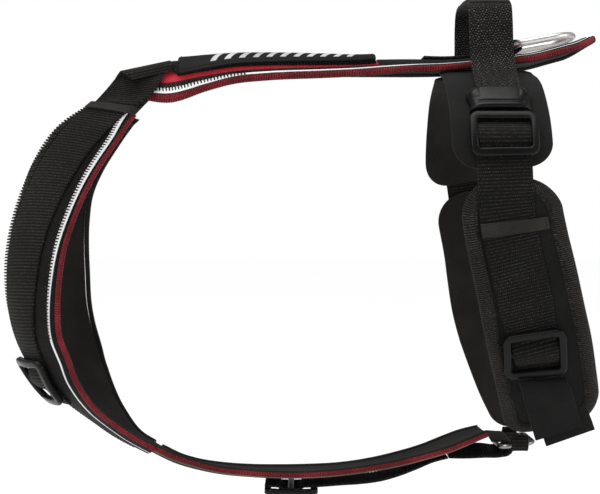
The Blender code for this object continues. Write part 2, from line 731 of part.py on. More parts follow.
def build_withers(shoulder):
    """The webbing that folds over at the withers, ending at the webbing on each shoulder pad."""
    height = PAD_THICKNESS / 2 + 1.2 + WEBBING / 2
    middle = float(webbing_middle(0.0))
    limits = middle + np.array([-1.0, 1.0]) * SHOULDER_WEBBING_HALF_WIDTH
    surfaces = []
    straight = (0.0,) * len(WITHERS_ROWS)
    for pad, rise, shift in (
        (shoulder, 0.0, straight),
        (shoulder.twin, FAR_WITHERS_RISE, FAR_WITHERS_SHIFT),
    ):
        corners = pad.place(np.zeros(2), limits, np.full(2, height))
        corners -= unit(pad.middle[1] - pad.middle[0]) * 1.4
        rows = np.array(WITHERS_ROWS, float)
        fade = np.array([1.0, 1.0, 1.0, 1.0, 0.6, 0.2])[:, None]
        rows[:, [2, 5]] -= rise * rows[:, [1, 4]] * fade
        rows[:, [0, 3]] += np.array(shift)[:, None]
        surfaces.append(surface_from_edges(np.vstack([rows, corners.reshape(1, 6)])))
    loop, loop.twin = surfaces
    stations = np.linspace(0.0, 1.0, 22)
    sides = loop.read(np.minimum(loop.half, loop.twin.half), stations)[:, None] * np.linspace(-1.0, 1.0, 4)
    add_wall("withers_loop", "black_webbing", loop, stations, sides, -WEBBING / 2, WEBBING / 2, True)


def build_belly(belly):
    """Pad, bindings, adjusting webbing with its slide, and the loop at the ring."""
    start = belly.find(0, -107.5)
    rim = BINDING_WIDTH + GAP
    half = BELLY_HALF_WIDTH + 1.0
    across = np.array([-1.0, -0.55, 0.0, 0.55, 1.0])
    nose = 9.0 * (1 - np.abs(across)) / belly.length
    stations = start - nose + (1.0 - start + nose) * spread(0.0, 1.0, 20)[:, None]
    height = np.full(5, PAD_THICKNESS / 2)
    height[[0, -1]] *= 0.75
    add_wall("belly_pad", "black_fabric", belly, stations, across * (half - rim), -height, height)

    radii = (BINDING_WIDTH / 2, BINDING_THICKNESS / 2)
    for name, sign in (("belly_binding_near", -1.0), ("belly_binding_far", 1.0)):
        line, out = surface_line(belly, spread(start, 1.0, 22), sign * (half - BINDING_WIDTH / 2), 0.0)
        add_rail(name, "red_binding", line, out, radii)

    rows = [(x, 0.0, z) for x, z in BELLY_WEBBING_ROWS]
    webbing = surface_from_line(rows, BELLY_WEBBING_HALF_WIDTH, (0.0, 1.0, 0.0))
    slide = webbing.find(0, -7.0)
    stations = np.linspace(0.0, 1.0, 30)
    sides = np.linspace(-1.0, 1.0, 3) * BELLY_WEBBING_HALF_WIDTH
    low = hump(stations, sides, webbing, slide, 10.0) - WEBBING / 2
    add_wall("belly_webbing", "black_webbing", webbing, stations, sides, low, low + WEBBING)
    add_slide("belly_slide", webbing, slide, 0.0, 18.5, 20.2, WEBBING / 2 + 3.2, False)

    half = BELLY_WEBBING_HALF_WIDTH - 2.5
    loop = surface_from_edges([(x, -half, near, x, half, far) for x, near, far in BELLY_LOOP_ROWS])
    stations, sides = np.linspace(0.0, 1.0, 24), np.linspace(-1.0, 1.0, 3) * half
    add_wall("belly_loop", "black_webbing", loop, stations, sides, -WEBBING / 2, WEBBING / 2)


def build_belly_ring():
    offsets = rounded_rectangle(*BELLY_RING_HALF_LENGTHS, 6.0)
    slope = np.array([math.cos(BELLY_RING_PITCH), 0.0, math.sin(BELLY_RING_PITCH)])
    beside = np.array([0.0, 1.0, 0.0])
    line = np.array(BELLY_RING_CENTRE) + offsets[:, :1] * slope + offsets[:, 1:] * beside
    out = np.tile(np.cross(slope, beside), (len(line), 1))
    add_rail("belly_ring", "steel", line, out, (BELLY_RING_WIRE, BELLY_RING_WIRE), True)


def girth_surface():
    rows = np.array(GIRTH_ROWS, float)
    near = surface_from_line(rows[:, [0, 1, 2]], 40.0, (-1.0, 0.0, 0.0))
    near.twin = surface_from_line(rows[:, [3, 1, 2]], 40.0, (-1.0, 0.0, 0.0))
    return near


def build_upper_girth(girth):
    """The pads that hang from under the back pad."""
    end = girth.find(2, UPPER_PAD_END_Z)
    stations = spread(0.0, end, 16, 0.6)
    reach = rounded_reach(stations * girth.length, end * girth.length, UPPER_PAD_HALF_WIDTH, 4.0, 18.0)
    sides = reach[:, None] * np.array([-1.0, -0.93, 0.0, 0.93, 1.0])
    height = GIRTH_PAD_THICKNESS / 2 * np.array([0.5, 1.0, 1.0, 1.0, 0.5])
    add_wall("upper_girth_pad", "black_fabric", girth, stations, sides, -height, height, True)


def build_lower_girth(girth):
    """The longer pads with their raised borders."""
    first, last = (girth.find(2, z) for z in LOWER_PAD_SPAN_Z)
    stations = spread(first, last, 22, 0.7)
    along, length = (stations - first) * girth.length, (last - first) * girth.length
    heights = girth.read(girth.middle, stations)[:, 2]
    table = np.array(LOWER_PAD_REACH)[::-1].T
    edges = []
    for column, end_radius in ((1, 16.0), (2, 33.0)):
        reach = np.interp(heights, table[0], table[column])
        edges.append(rounded_reach(along, length, reach, 26.0, end_radius)[:, None])
    rim = np.array([0.0, 0.14, 0.34, 0.72, 0.9, 1.0])
    half = GIRTH_PAD_THICKNESS / 2
    step = np.array([0.9, 3.6, 4.8, 4.6, 3.6, half])
    columns, tops = [], []
    for edge in edges:
        # The border lies outside the webbing and sinks where the pad is too narrow for it.
        inner = np.minimum(np.maximum(edge - RIM_WIDTH, GIRTH_WEBBING_HALF_WIDTH + 1.2), edge - 0.6)
        grown = np.clip((edge - GIRTH_WEBBING_HALF_WIDTH - 5.0) / 6.0, 0.0, 1.0)
        grown = np.minimum(grown, np.clip((along[:, None] - 8.0) / 12.0, 0.0, 1.0))
        columns.append(edge + (inner - edge) * rim)
        tops.append(np.where(step > half, half + (step - half) * grown, step))
    front, rear = columns
    sides = np.concatenate([-rear, front[:, ::-1]], axis=1)
    high = np.concatenate([tops[1], tops[0][:, ::-1]], axis=1)
    low = np.full(12, -half)
    low[[0, -1]] = -0.9
    add_wall("lower_girth_pad", "black_fabric", girth, stations, sides, low, high, True)


def build_girth_fittings(girth):
    """Buckles, webbing, keepers and slides on the girth pads."""
    floor = GIRTH_PAD_THICKNESS / 2 + GAP + 0.1
    frame_at, slide_at = (girth.find(2, z) for z in (BUCKLE_FRAME_Z, GIRTH_SLIDE_Z))
    step = 1.0 / girth.length
    run = np.concatenate(
        [
            frame_at + np.linspace(-11.0, 12.0, 12) * step,
            spread(girth.find(2, -84.0), girth.find(2, -196.0), 13),
            slide_at + np.linspace(-14.0, 14.0, 14) * step,
            spread(girth.find(2, -236.0), girth.find(2, -272.0), 4),
        ]
    )
    pinch = 2.4 * np.clip(1.4 - np.abs(run - slide_at) * girth.length / 22.0, 0.0, 1.0)
    taper = 7.0 * np.clip((run - slide_at) * girth.length / 70.0, 0.0, 1.0)
    half = GIRTH_WEBBING_HALF_WIDTH - pinch - taper
    sides = half[:, None] * np.linspace(-1.0, 1.0, 3) - 0.5
    low = floor + hump(run, sides, girth, frame_at, 10.0)
    low += hump(run, sides, girth, slide_at, 10.0, SLIDE_TURN)
    add_wall("girth_webbing", "black_webbing", girth, run, sides, low, low + WEBBING, True)

    height = floor + WEBBING + 3.2
    add_slide("buckle_frame", girth, frame_at, -0.5, 13.3, 21.7, height)
    add_slide("girth_slide", girth, slide_at, -0.5, 16.3, 20.8, height, True, SLIDE_TURN)

    body = spread(*(girth.find(2, z) for z in SOCKET_SPAN_Z), 8)
    shape = np.interp(
        np.linspace(0.0, 1.0, 8), [0.0, 0.12, 0.35, 0.6, 0.8, 1.0], [19, 22, 23.2, 21.2, 20.6, 22]
    )
    sides = shape[:, None] * np.array([-1.0, -0.9, -0.45, 0.0, 0.45, 0.9, 1.0])
    high = np.array([7.0, 9.6, 10.4, 10.6, 10.4, 9.6, 7.0])
    add_wall("buckle_socket", "black_plastic", girth, body, sides, floor, high, True)

    side = np.array([-28.0, -24.5, -20.6, -10.0, 0.0, 10.0, 19.2])
    low = np.array([2.4, 2.9, 4.5, 4.6, 4.6, 4.6, 4.6])
    band = girth.find(2, KEEPER_Z) + (np.linspace(-4.6, 4.6, 3)[:, None] - side * 0.07) * step
    add_wall("elastic_keeper", "black_webbing", girth, band, side, low, low + 1.1, True)
    return slide_at


def build_strap_ends(girth, slide_at):
    """The free ends below the girth slides, and the links to the ring."""
    start = girth.place(slide_at + 22.5 / girth.length, -1.5, 7.4)
    rows = [start] + [np.array(row, float) for row in LOOSE_END_ROWS]
    for name, line, half in (
        ("loose_end", rows, 17.5),
        ("folded_end", FOLDED_END_ROWS, 18.5),
        ("ring_link", [(RING_LINK_X, y, z) for y, z in RING_LINK_ROWS], 6.0),
    ):
        ribbon = surface_from_line(line, half, (-1.0, 0.0, 0.0))
        stations = np.linspace(0.0, 1.0, 14 if name == "ring_link" else 8)
        sides = np.linspace(-1.0, 1.0, 3) * half
        add_wall(name, "black_webbing", ribbon, stations, sides, -WEBBING / 2, WEBBING / 2, True)


clear_scene()
HARNESS = new_collection("dog_harness")
HELPERS = new_collection("cutters", helper=True)

back_surface = surface_from_profile(BACK_ROWS, BACK_HALF_WIDTH, 1)
belly_surface = surface_from_profile(BELLY_ROWS, BELLY_HALF_WIDTH, -1)
girth_middle = girth_surface()

build_back(back_surface)
ring_axis = build_leash_ring(back_surface)
build_handle()
shoulder_surface = build_shoulders()
build_withers(shoulder_surface)
build_belly(belly_surface)
build_belly_ring()
build_upper_girth(girth_middle)
build_lower_girth(girth_middle)
build_strap_ends(girth_middle, build_girth_fittings(girth_middle))
print("leash ring axis, mm:", np.round(ring_axis, 2).tolist())
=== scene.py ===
"""Looks of a padded dog harness in its worn shape: cloth, webbing, bindings, plastic and steel.

The harness is empty and hollow. Its head end points to -X, its back to +Z, and its near side is -Y.
Sizes and tables are in millimetres, as in the solids, and become metres when a mesh is made. A strap
or pad is a shape on a smooth surface, where a point has a distance along the strap, a side (mm from
the middle line) and a height (mm out of the surface).
"""

import logging
import math
from collections.abc import Callable, Sequence
from dataclasses import dataclass, field, replace
from enum import Enum

import bpy
import numpy as np
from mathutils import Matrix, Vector


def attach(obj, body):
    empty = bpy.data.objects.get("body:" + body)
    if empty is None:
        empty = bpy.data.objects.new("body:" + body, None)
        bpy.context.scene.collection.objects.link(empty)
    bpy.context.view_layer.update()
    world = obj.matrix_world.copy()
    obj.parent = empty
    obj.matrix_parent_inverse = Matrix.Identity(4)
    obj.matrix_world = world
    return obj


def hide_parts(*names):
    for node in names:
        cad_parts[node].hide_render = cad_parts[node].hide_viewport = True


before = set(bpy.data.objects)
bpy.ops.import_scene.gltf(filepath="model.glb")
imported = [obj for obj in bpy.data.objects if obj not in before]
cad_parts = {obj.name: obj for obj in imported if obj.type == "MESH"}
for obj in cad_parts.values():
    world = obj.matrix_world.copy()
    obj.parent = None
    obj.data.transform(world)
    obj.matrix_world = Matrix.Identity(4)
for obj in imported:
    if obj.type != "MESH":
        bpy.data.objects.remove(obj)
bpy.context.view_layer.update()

Array = np.ndarray
Rows = Sequence[Sequence[float]]
Pair = tuple[float, float]
Colour = tuple[float, float, float]
Tree = bpy.types.NodeTree
Node = bpy.types.Node
Socket = bpy.types.NodeSocket
Sockets = bpy.types.bpy_prop_collection
LOG = logging.getLogger("harness")

MM = 0.001
CLOTH_UNIT = 100.0  # mm to one unit of the cloth map
CLOTH_MAP = "cloth"
SAMPLES = 400  # dense points that each surface is measured on
FLIP = np.array([1.0, -1.0, 1.0])

PAD = 5.0  # thickness of the back, shoulder and belly pads
GIRTH_PAD = 4.0
WEBBING = 1.7
BINDING_WIDTH = 4.0
BINDING_STEP = 0.33  # distance between a binding's points, four to a rib
GAP = 0.4
BAR_RISE = 4.7  # webbing climbs this far over a slide's middle bar
BAR_CLIMB = 10.0  # and starts to climb this far from it
RIB_PITCH = 2.3  # distance from rib to rib of the webbing
BEAD_INSET = 1.1  # the bead along both edges of webbing: its place, spread and height
BEAD_SPREAD = 0.6
BEAD_HEIGHT = 0.15
EDGE_DROP = 0.35  # how much thinner webbing is at its very edge

# Stitches: pitch, length and radius of each seam's threads.
WEBBING_SEAM = (2.4, 1.8, 0.3)
LABEL_SEAM = (2.4, 1.7, 0.25)
PAD_SEAM = (3.0, 2.0, 0.28)
BELLY_SEAM = (2.6, 1.7, 0.28)
BORDER_SEAM = (3.4, 1.9, 0.3)
KEEPER_SEAM = (1.7, 1.3, 0.28)

# Sections of a slide's frame and of its middle bar: half width, half height, points and power.
SLIDE_FLANGE = (2.8, 2.5, 20, 3.6)
SLIDE_BAR = (2.3, 1.2, 12, 2.4)
SLIDE_CORNER = 4.5

# Back pad, head to tail: height of the two edges and how far the middle arches over the spine.
BACK_ROWS = [  # x, near_z, far_z, arch
    (-124, -30.2, -23, 17.5), (-117, -29.6, -21.6, 19), (-95, -27.6, -18, 21.3), (-72, -20.6, -10.8, 16.2),
    (-49, -15, -6, 12.5), (-26, -12.8, -3.8, 10.5), (19, -10.9, -2.4, 8), (42, -9.8, -2.6, 6.8),
    (64, -8.2, -2.6, 6.4), (87, -6.7, -2.6, 5.6), (110, -5.6, -2.2, 4.2), (155, -1, 0.8, 4.2),
    (178, 1.8, 2.6, 4.6), (200, 7.3, 8.3, 4.8), (224, 13.6, 14.8, 4.6), (234, 16.2, 17.6, 4.5),
]

# Shoulder pads, withers to breastbone: the rear (binding) edge, the front edge and the arch. Both
# tables have the near side's signs.
NEAR_SHOULDER_ROWS = [  # rear x, y, z, front x, y, z, arch
    (-114.5, -31, -37, -159.5, -19, -33, 2.5), (-128, -34, -58, -183, -20, -49, 4),
    (-144, -38, -81, -198.5, -22, -73, 5.5), (-154, -43, -99, -207, -24, -94, 6.5),
    (-163, -49, -120, -214, -26, -117, 7), (-170, -55, -143, -218.5, -28, -142, 7),
    (-173, -60, -165, -219.5, -29, -164, 7), (-173.5, -64, -187, -218, -27, -186, 7),
    (-172, -66, -205, -214, -21, -206, 6.5), (-166, -64, -223, -206.5, -13, -226, 6),
    (-161, -59, -240, -195.5, -6, -244, 5), (-150, -52, -257.5, -181, -2.7, -258.5, 3),
    (-137.5, -41, -271.5, -163, -2.5, -272, 2), (-124, -32.5, -283, -143, -2.5, -286, 1.5),
    (-109, -28, -292.8, -119, -2.5, -298.6, 1),
]
FAR_SHOULDER_ROWS = [  # rear x, y, z, front x, y, z, arch
    (-127.5, -31, -37, -166.5, -19, -33, 2.5), (-144.5, -34, -58, -192, -20, -49, 4),
    (-160, -38, -81, -208.5, -22, -73, 5.5), (-168.5, -43, -99, -217, -24, -94, 6.5),
    (-172.5, -49, -120, -221, -26, -117, 7), (-174, -55, -143, -221.5, -28, -142, 7),
    (-174, -60, -165, -220.5, -29, -164, 7), (-173.5, -64, -187, -218, -27, -186, 7),
    (-170, -66, -205, -214, -21, -206, 6.5), (-165, -64, -223, -206.5, -13, -226, 6),
    (-159.5, -59, -240, -195.5, -6, -244, 5), (-151.5, -50, -257.5, -181, -2.7, -258.5, 3),
    (-141.5, -40, -273.5, -163, -2.5, -272, 2), (-128, -32.5, -290, -143, -2.5, -286, 1.5),
    (-109, -28, -301, -119, -2.5, -298.6, 1),
]

# Side of the shoulder webbing's middle line, withers to breastbone: share of its length, side.
SHOULDER_WEBBING_SIDES = [(0.0, 0.6), (0.14, 3.4), (0.5, 4.2), (0.68, 6.6), (0.76, 7.8), (1.0, 6.0)]

# Belly pad, breastbone to girth: height of the two edges and how far the middle sags.
BELLY_ROWS = [  # x, near_z, far_z, arch
    (-121, -285.6, -295.5, 3.2), (-107, -293.8, -302.3, 3.2), (-95, -299.3, -308, 3.2),
    (-83, -303.2, -311.6, 3.2), (-60, -309, -315.2, 3), (-38, -311.4, -316.6, 3), (-15, -312.8, -316.8, 3),
    (8, -312.7, -316.4, 3), (30, -311, -315.2, 3), (53, -307.9, -312, 3), (76, -303.8, -306.8, 3),
    (98, -298.1, -300.2, 3), (113, -293.8, -294.2, 2.8), (127, -288.2, -289, 2.5), (142, -281.8, -285.4, 2),
]

# Girth strap, from under the back pad to the ring below the chest: its middle line on the near
# side, and the x of its middle line on the far side.
GIRTH_ROWS = [  # near x, y, z, far x
    (141, -16, -7.6, 142), (141, -27, -11.6, 142), (141, -40, -15.4, 142), (141, -57, -23, 142),
    (141, -75, -38, 142.3), (141, -88, -54, 142.6), (141, -95.5, -71, 143.2), (141.5, -97.5, -91, 146),
    (143, -96, -116, 149.5), (148, -91, -141, 153.5), (155, -84, -166, 156.5), (162, -75, -191, 160),
    (169.5, -64, -216, 166), (176, -50, -239, 172), (181, -38, -256, 177), (185, -27, -270, 182),
    (187, -20, -279, 185),
]

# Carrying handle, far buckle over the back to the near buckle: its middle line.
HANDLE_ROWS = [  # x, y, z
    (142.5, 72, -28.4), (142.5, 67, -24), (142.5, 60, -18.4), (142.5, 50.5, -8), (142.5, 47.5, 6),
    (142.5, 47, 22), (142.5, 46, 38), (142.5, 42, 46.5), (142.4, 34, 49.6), (142.2, 18, 48.8),
    (141.8, 0, 47.3), (141.5, -18, 45), (141.4, -31, 43), (141.4, -39.5, 37.5), (141.4, -43, 27.5),
    (141.8, -44, 10), (142.2, -47.5, -4), (142.5, -55, -14), (142.5, -67, -24), (142.5, -72, -28.4),
]

# Webbing loop at the withers, from its sewn flap over the fold and down to the shoulder pad.
WITHERS_ROWS = [  # rear x, y, z, front x, y, z
    (-97, -24, -7.2, -126.5, -31.5, -15.2), (-97.2, -22.5, -1.9, -131.8, -31, -11),
    (-99.2, -18.8, 0.4, -135.2, -27.5, -8.8), (-102, -20.6, -3.8, -138.6, -23.5, -11.6),
    (-104.3, -28, -14, -145, -22, -19.2), (-112, -31.5, -26.6, -154, -21.5, -29.2),
]
FAR_WITHERS_RISE = 0.28  # the far loop is higher by this share of its y, as the back pad is
FAR_WITHERS_SHIFT = (0.0, 0.0, 0.0, -1.0, -4.5, -11.0)  # and leans forward, row by row
WITHERS_FADE = (1.0, 1.0, 1.0, 1.0, 0.6, 0.2)

# Adjusting webbing under the belly pad: its middle line.
BELLY_WEBBING_ROWS = [  # x, z
    (-27, -323.4), (-8, -324.2), (15, -323.6), (31, -322.4), (46, -321.4), (61, -319.4), (76, -315.2),
    (88, -310.6), (102, -304.8), (113, -301.9),
]

# Webbing loop at the belly pad's rear end, round the front bar of the ring.
BELLY_LOOP_ROWS = [  # x, near_z, far_z
    (114, -302.2, -300.4), (126, -302.6, -297.2), (142, -302, -296.2), (153, -301.6, -297.2),
    (160.5, -299.6, -295.2), (163, -295.5, -291.5), (160, -290.7, -287.6), (153, -289.7, -286.7),
    (146.5, -289.4, -286.2),
]

# Strap end that hangs free below the near girth slider, and the folded end behind it.
LOOSE_END_ROWS = [(177, -67.6, -243), (181, -69.2, -258), (186, -69.2, -275)]  # x, y, z
FOLDED_END_ROWS = [(188.7, -66.0, -262), (192, -66.2, -270), (195, -66.0, -278.5)]  # x, y, z

# Webbing that joins the girth pad's lower end to the side bar of the ring.
RING_LINK_ROWS = [  # y, z
    (-20.8, -284.6), (-23.7, -287.6), (-24.4, -291.2), (-22.4, -294.7), (-18.9, -294.9), (-16.2, -292),
    (-16.2, -288),
]
RING_LINK_X = 167.0

# Reach of the lower girth pad's edges from the strap's middle line, foot to head.
LOWER_PAD_REACH = [  # z, front, rear
    (-280, 30.5, 41), (-248, 32, 41.5), (-211, 33, 41.5), (-150, 31, 40.5), (-93, 31, 38.5),
]


# The lower girth pad's raised border, round its section.
BORDER_PROFILE = [  # inset, height
    (0.4, -0.8), (0.1, 0.9), (1, 3), (3.2, 4.5), (5.6, 4.7), (8.2, 4.3), (10.2, 3), (10.8, 1.6), (9, 0.6),
    (5, 0), (2, -0.8), (1, -1),
]


class Body(Enum):
    """The bodies of the harness that a piece can ride on."""

    HARNESS = "harness"
    LEASH_RING = "leash_ring"


class Slot(Enum):
    """The record's material slots."""

    BLACK_FABRIC = "black_fabric"
    BLACK_WEBBING = "black_webbing"
    RED_BINDING = "red_binding"
    RED_FABRIC = "red_fabric"
    GREY_TRIM = "grey_trim"
    HOOK_PATCH = "hook_patch"
    BLACK_PLASTIC = "black_plastic"
    STEEL = "steel"


class Hold(Enum):
    """How a strip of cloth is held."""

    HUNG = "hung"
    LAID = "laid"
    FOLDED = "folded"
    STRETCHED = "stretched"


class Pattern(Enum):
    """The make of a cloth's face: woven rows of dots, or ribs that may lean."""

    WEAVE = "weave"
    RIBS = "ribs"


# Shapes


def unit(vectors: Array) -> Array:
    """Vectors of length one along the same directions."""
    return vectors / np.maximum(np.linalg.norm(vectors, axis=-1, keepdims=True), 1e-9)


def smooth_curve(rows: Rows, count: int) -> Array:
    """A smooth curve through the rows, evenly spread by row distance.

    Between two rows it is the cubic that meets both with the slopes of their neighbours.

    Args:
        rows: The table's rows.
        count: How many points to give.

    Returns:
        One row of columns for each point.
    """
    table = np.asarray(rows, float)
    steps = np.linalg.norm(np.diff(table[:, : min(6, table.shape[1])], axis=0), axis=1)
    knots = np.concatenate([[0.0], np.cumsum(steps)])
    slopes = np.gradient(table, knots, axis=0)
    places = np.linspace(0.0, knots[-1], count)
    cell = np.clip(np.searchsorted(knots, places, side="right") - 1, 0, len(knots) - 2)
    width = (knots[cell + 1] - knots[cell])[:, None]
    t = ((places - knots[cell])[:, None]) / width
    return (
        (2 * t**3 - 3 * t**2 + 1) * table[cell] + (t**3 - 2 * t**2 + t) * width * slopes[cell]
        + (3 * t**2 - 2 * t**3) * table[cell + 1] + (t**3 - t**2) * width * slopes[cell + 1]
    )


def arc_lengths(points: Array) -> Array:
    """The distance along a line of points from its start to each of them."""
    return np.concatenate([[0.0], np.cumsum(np.linalg.norm(np.diff(points, axis=0), axis=1))])


def evenly(points: Array, step: float) -> Array:
    """The same line with its points about one step apart.

    Args:
        points: Rows of points on the line.
        step: The wanted distance between neighbours.

    Returns:
        Rows of points, both ends kept.
    """
    along = arc_lengths(points)
    places = np.linspace(0.0, along[-1], max(3, int(round(along[-1] / step)) + 1))
    return np.stack([np.interp(places, along, column) for column in points.T], axis=1)


def spread(start: float, end: float, count: int, ends: float = 0.0) -> Array:
    """Numbers from start to end, crowded towards both ends when ends is near 1."""
    even = np.linspace(0.0, 1.0, count)
    return start + (end - start) * ((1 - ends) * even + ends * (0.5 - 0.5 * np.cos(np.pi * even)))


def crowded(count: int) -> Array:
    """Numbers from -1 to 1 that crowd towards both ends: the sine of even steps over a half turn."""
    return np.sin(np.linspace(-np.pi / 2, np.pi / 2, count))


def headings(points: Array, closed: bool = False) -> Array:
    """Unit directions along a line, each from the point before to the point after.

    Args:
        points: Rows of points.
        closed: True for a loop.

    Returns:
        One direction for each point.
    """
    if closed:
        return unit(np.roll(points, -1, axis=0) - np.roll(points, 1, axis=0))
    return unit(np.gradient(points, axis=0))


def looped(points: Array, closed: bool = True) -> Array:
    """The same points, with the first one again at the end of a loop."""
    return np.vstack([points, points[:1]]) if closed else points


def rounded_reach(along: Array, length: float, half: Array | float, start: float, end: float) -> Array:
    """Half widths along a pad whose corners are quarter circles.

    Args:
        along: Distances from the pad's first end.
        length: The pad's length.
        half: Its half width away from the corners.
        start: Corner radius at the first end.
        end: Corner radius at the last end.

    Returns:
        The half width at each distance.
    """
    inset = np.zeros_like(along)
    for distance, radius in ((along, start), (length - along, end)):
        short = np.clip(radius - distance, 0.0, radius)
        inset = np.maximum(inset, radius - np.sqrt(np.maximum(radius**2 - short**2, 0.0)))
    return half - inset


class Strap:
    """A strap's or pad's middle surface: two edges, and an arch between them that bulges outwards.

    twin is the near-handed surface that the far side is mirrored from.
    """

    def __init__(self, first_edge: Array, second_edge: Array, arch: Array, power: float = 2.0) -> None:
        """Measures the surface on evenly spread stations.

        Args:
            first_edge: Points on the edge with negative sides.
            second_edge: Points on the edge with positive sides.
            arch: How far the middle bulges at each point.
            power: How flat the crown is, 2 for a parabola.
        """
        middle = (first_edge + second_edge) / 2
        run = arc_lengths(middle)
        self.length = float(run[-1])
        self.stations = np.linspace(0.0, 1.0, SAMPLES)
        self.middle = self.resampled(run / self.length, middle)
        self.reach = self.resampled(run / self.length, (second_edge - first_edge) / 2)
        self.arch = np.interp(self.stations, run / self.length, arch)
        self.power = power
        self.half = np.linalg.norm(self.reach, axis=1)
        self.across = unit(self.reach)
        self.normal = unit(np.cross(self.across, np.gradient(self.middle, axis=0)))
        self.twin = self

    def resampled(self, along: Array, columns: Array) -> Array:
        """Columns read at the surface's own stations."""
        return np.stack([np.interp(self.stations, along, c) for c in columns.T], axis=1)

    def read(self, values: Array, station: Array) -> Array:
        """Values of one of the surface's arrays at any station."""
        if values.ndim == 1:
            return np.interp(station, self.stations, values)
        return np.stack([np.interp(station, self.stations, c) for c in values.T], axis=-1)

    def find(self, axis: int, value: float) -> float:
        """The station where the middle line has this x, y or z."""
        order = np.argsort(self.middle[:, axis])
        return float(np.interp(value, self.middle[order, axis], self.stations[order]))

    def on_middle(self, station: Array, side: Array) -> Array:
        """Points on the surface itself.

        A point is the middle line's point, plus the side along the width, plus the arch times
        one less the side's share of the half width to the surface's power.

        Args:
            station: Places along the strap, 0 to 1.
            side: Places across it, in mm.

        Returns:
            Points in mm.
        """
        ratio = np.abs(side) / self.read(self.half, station)
        bulge = self.read(self.arch, station) * (1 - ratio**self.power)
        return (
            self.read(self.middle, station) + self.read(self.across, station) * side[..., None]
            + self.read(self.normal, station) * bulge[..., None]
        )

    def place(self, station: Array | float, side: Array | float, height: Array | float) -> Array:
        """Points at a height out of the surface, along its normal. The inputs broadcast.

        Args:
            station: Places along the strap, 0 to 1.
            side: Places across it, in mm.
            height: Heights, in mm.

        Returns:
            Points in mm.
        """
        given = (np.asarray(value, float) for value in (station, side, height))
        station, side, height = np.broadcast_arrays(*given)
        station = np.clip(station, 0.0, 1.0)
        step = 1.5 / SAMPLES
        ahead, behind = np.clip(station + step, 0.0, 1.0), np.clip(station - step, 0.0, 1.0)
        along = self.on_middle(ahead, side) - self.on_middle(behind, side)
        beside = self.on_middle(station, side + 0.25) - self.on_middle(station, side - 0.25)
        return self.on_middle(station, side) + unit(np.cross(beside, along)) * height[..., None]

    def at(self, path: Array, height: Array | float) -> Array:
        """Points over a path of distance along the strap and side, both in mm."""
        return self.place(path[..., 0] / self.length, path[..., 1], height)

    def inset(self, stations: Array, sign: int, distance: float) -> Array:
        """Sides that are this far in from one edge, measured square to the edge.

        Args:
            stations: Places along the strap.
            sign: -1 for the first edge, 1 for the second.
            distance: How far in, in mm.

        Returns:
            One side for each station.
        """
        half = self.read(self.half, stations)
        edge = self.on_middle(stations, sign * half)
        along = headings(edge)
        lean = np.abs((along * self.read(self.across, stations)).sum(axis=1))
        return sign * (half - distance / np.sqrt(1 - np.minimum(lean, 0.8) ** 2))


def surface_from_edges(rows: Rows) -> Strap:
    """A surface from rows of first edge x, y, z, second edge x, y, z and an optional arch."""
    curve = smooth_curve(rows, SAMPLES)
    arch = curve[:, 6] if curve.shape[1] > 6 else np.zeros(len(curve))
    return Strap(curve[:, :3], curve[:, 3:6], arch)


def surface_from_profile(rows: Rows, half: float, outward: int) -> Strap:
    """A surface from rows of x, near z, far z and arch.

    Args:
        rows: The table.
        half: Half width of the strap.
        outward: 1 where the outside is up, on the back, and -1 where it is down, on the belly.

    Returns:
        The surface.
    """
    x, near_z, far_z, arch = smooth_curve(rows, SAMPLES).T
    near = np.stack([x, np.full_like(x, -half), near_z], axis=1)
    far = np.stack([x, np.full_like(x, half), far_z], axis=1)
    return Strap(far, near, arch, 3.0) if outward > 0 else Strap(near, far, arch)


def surface_from_line(rows: Rows, half: float, across: Sequence[float]) -> Strap:
    """A flat ribbon along a middle line, its width square to the line and nearest to across.

    Args:
        rows: Points of the middle line.
        half: Half width of the ribbon.
        across: The direction that its width keeps to.

    Returns:
        The surface.
    """
    middle = smooth_curve(rows, SAMPLES)
    direction = headings(middle)
    wanted = np.asarray(across, float)
    reach = unit(wanted - direction * (direction @ wanted)[:, None]) * half
    return Strap(middle - reach, middle + reach, np.zeros(SAMPLES))


@dataclass
class Shape:
    """The mesh of a piece: points in mm, faces of four corners, cloth map and finish numbers."""

    points: Array
    faces: Array
    cloth: Array
    tint: Array

    def turned(self) -> "Shape":
        """The same shape with its faces turned round."""
        return Shape(self.points, self.faces[:, ::-1], self.cloth[:, ::-1], self.tint)

    def mirrored(self) -> "Shape":
        """The far side's copy: the other sign of y, its faces turned to keep facing out."""
        return replace(self.turned(), points=self.points * FLIP)

    def outward(self) -> "Shape":
        """The same shape, turned round if its enclosed volume is negative."""
        a, b, c, d = (self.points[self.faces[:, i]] for i in range(4))
        volume = (np.cross(b, c) * a).sum() + (np.cross(c, d) * a).sum()
        return self if volume >= 0 else self.turned()


def solid(points: Array, faces: Array, cloth: Array) -> Shape:
    """A shape in its first finish that faces out, from a grid of points."""
    return Shape(points.reshape(-1, 3), faces, cloth, np.zeros(len(faces), int)).outward()


def joined(*shapes: Shape) -> Shape:
    """One shape with all the points and faces of several closed ones."""
    starts = np.cumsum([0] + [len(s.points) for s in shapes[:-1]])
    return Shape(
        np.concatenate([s.points for s in shapes]),
        np.concatenate([s.faces + start for s, start in zip(shapes, starts)]),
        np.concatenate([s.cloth for s in shapes]), np.concatenate([s.tint for s in shapes]),
    )


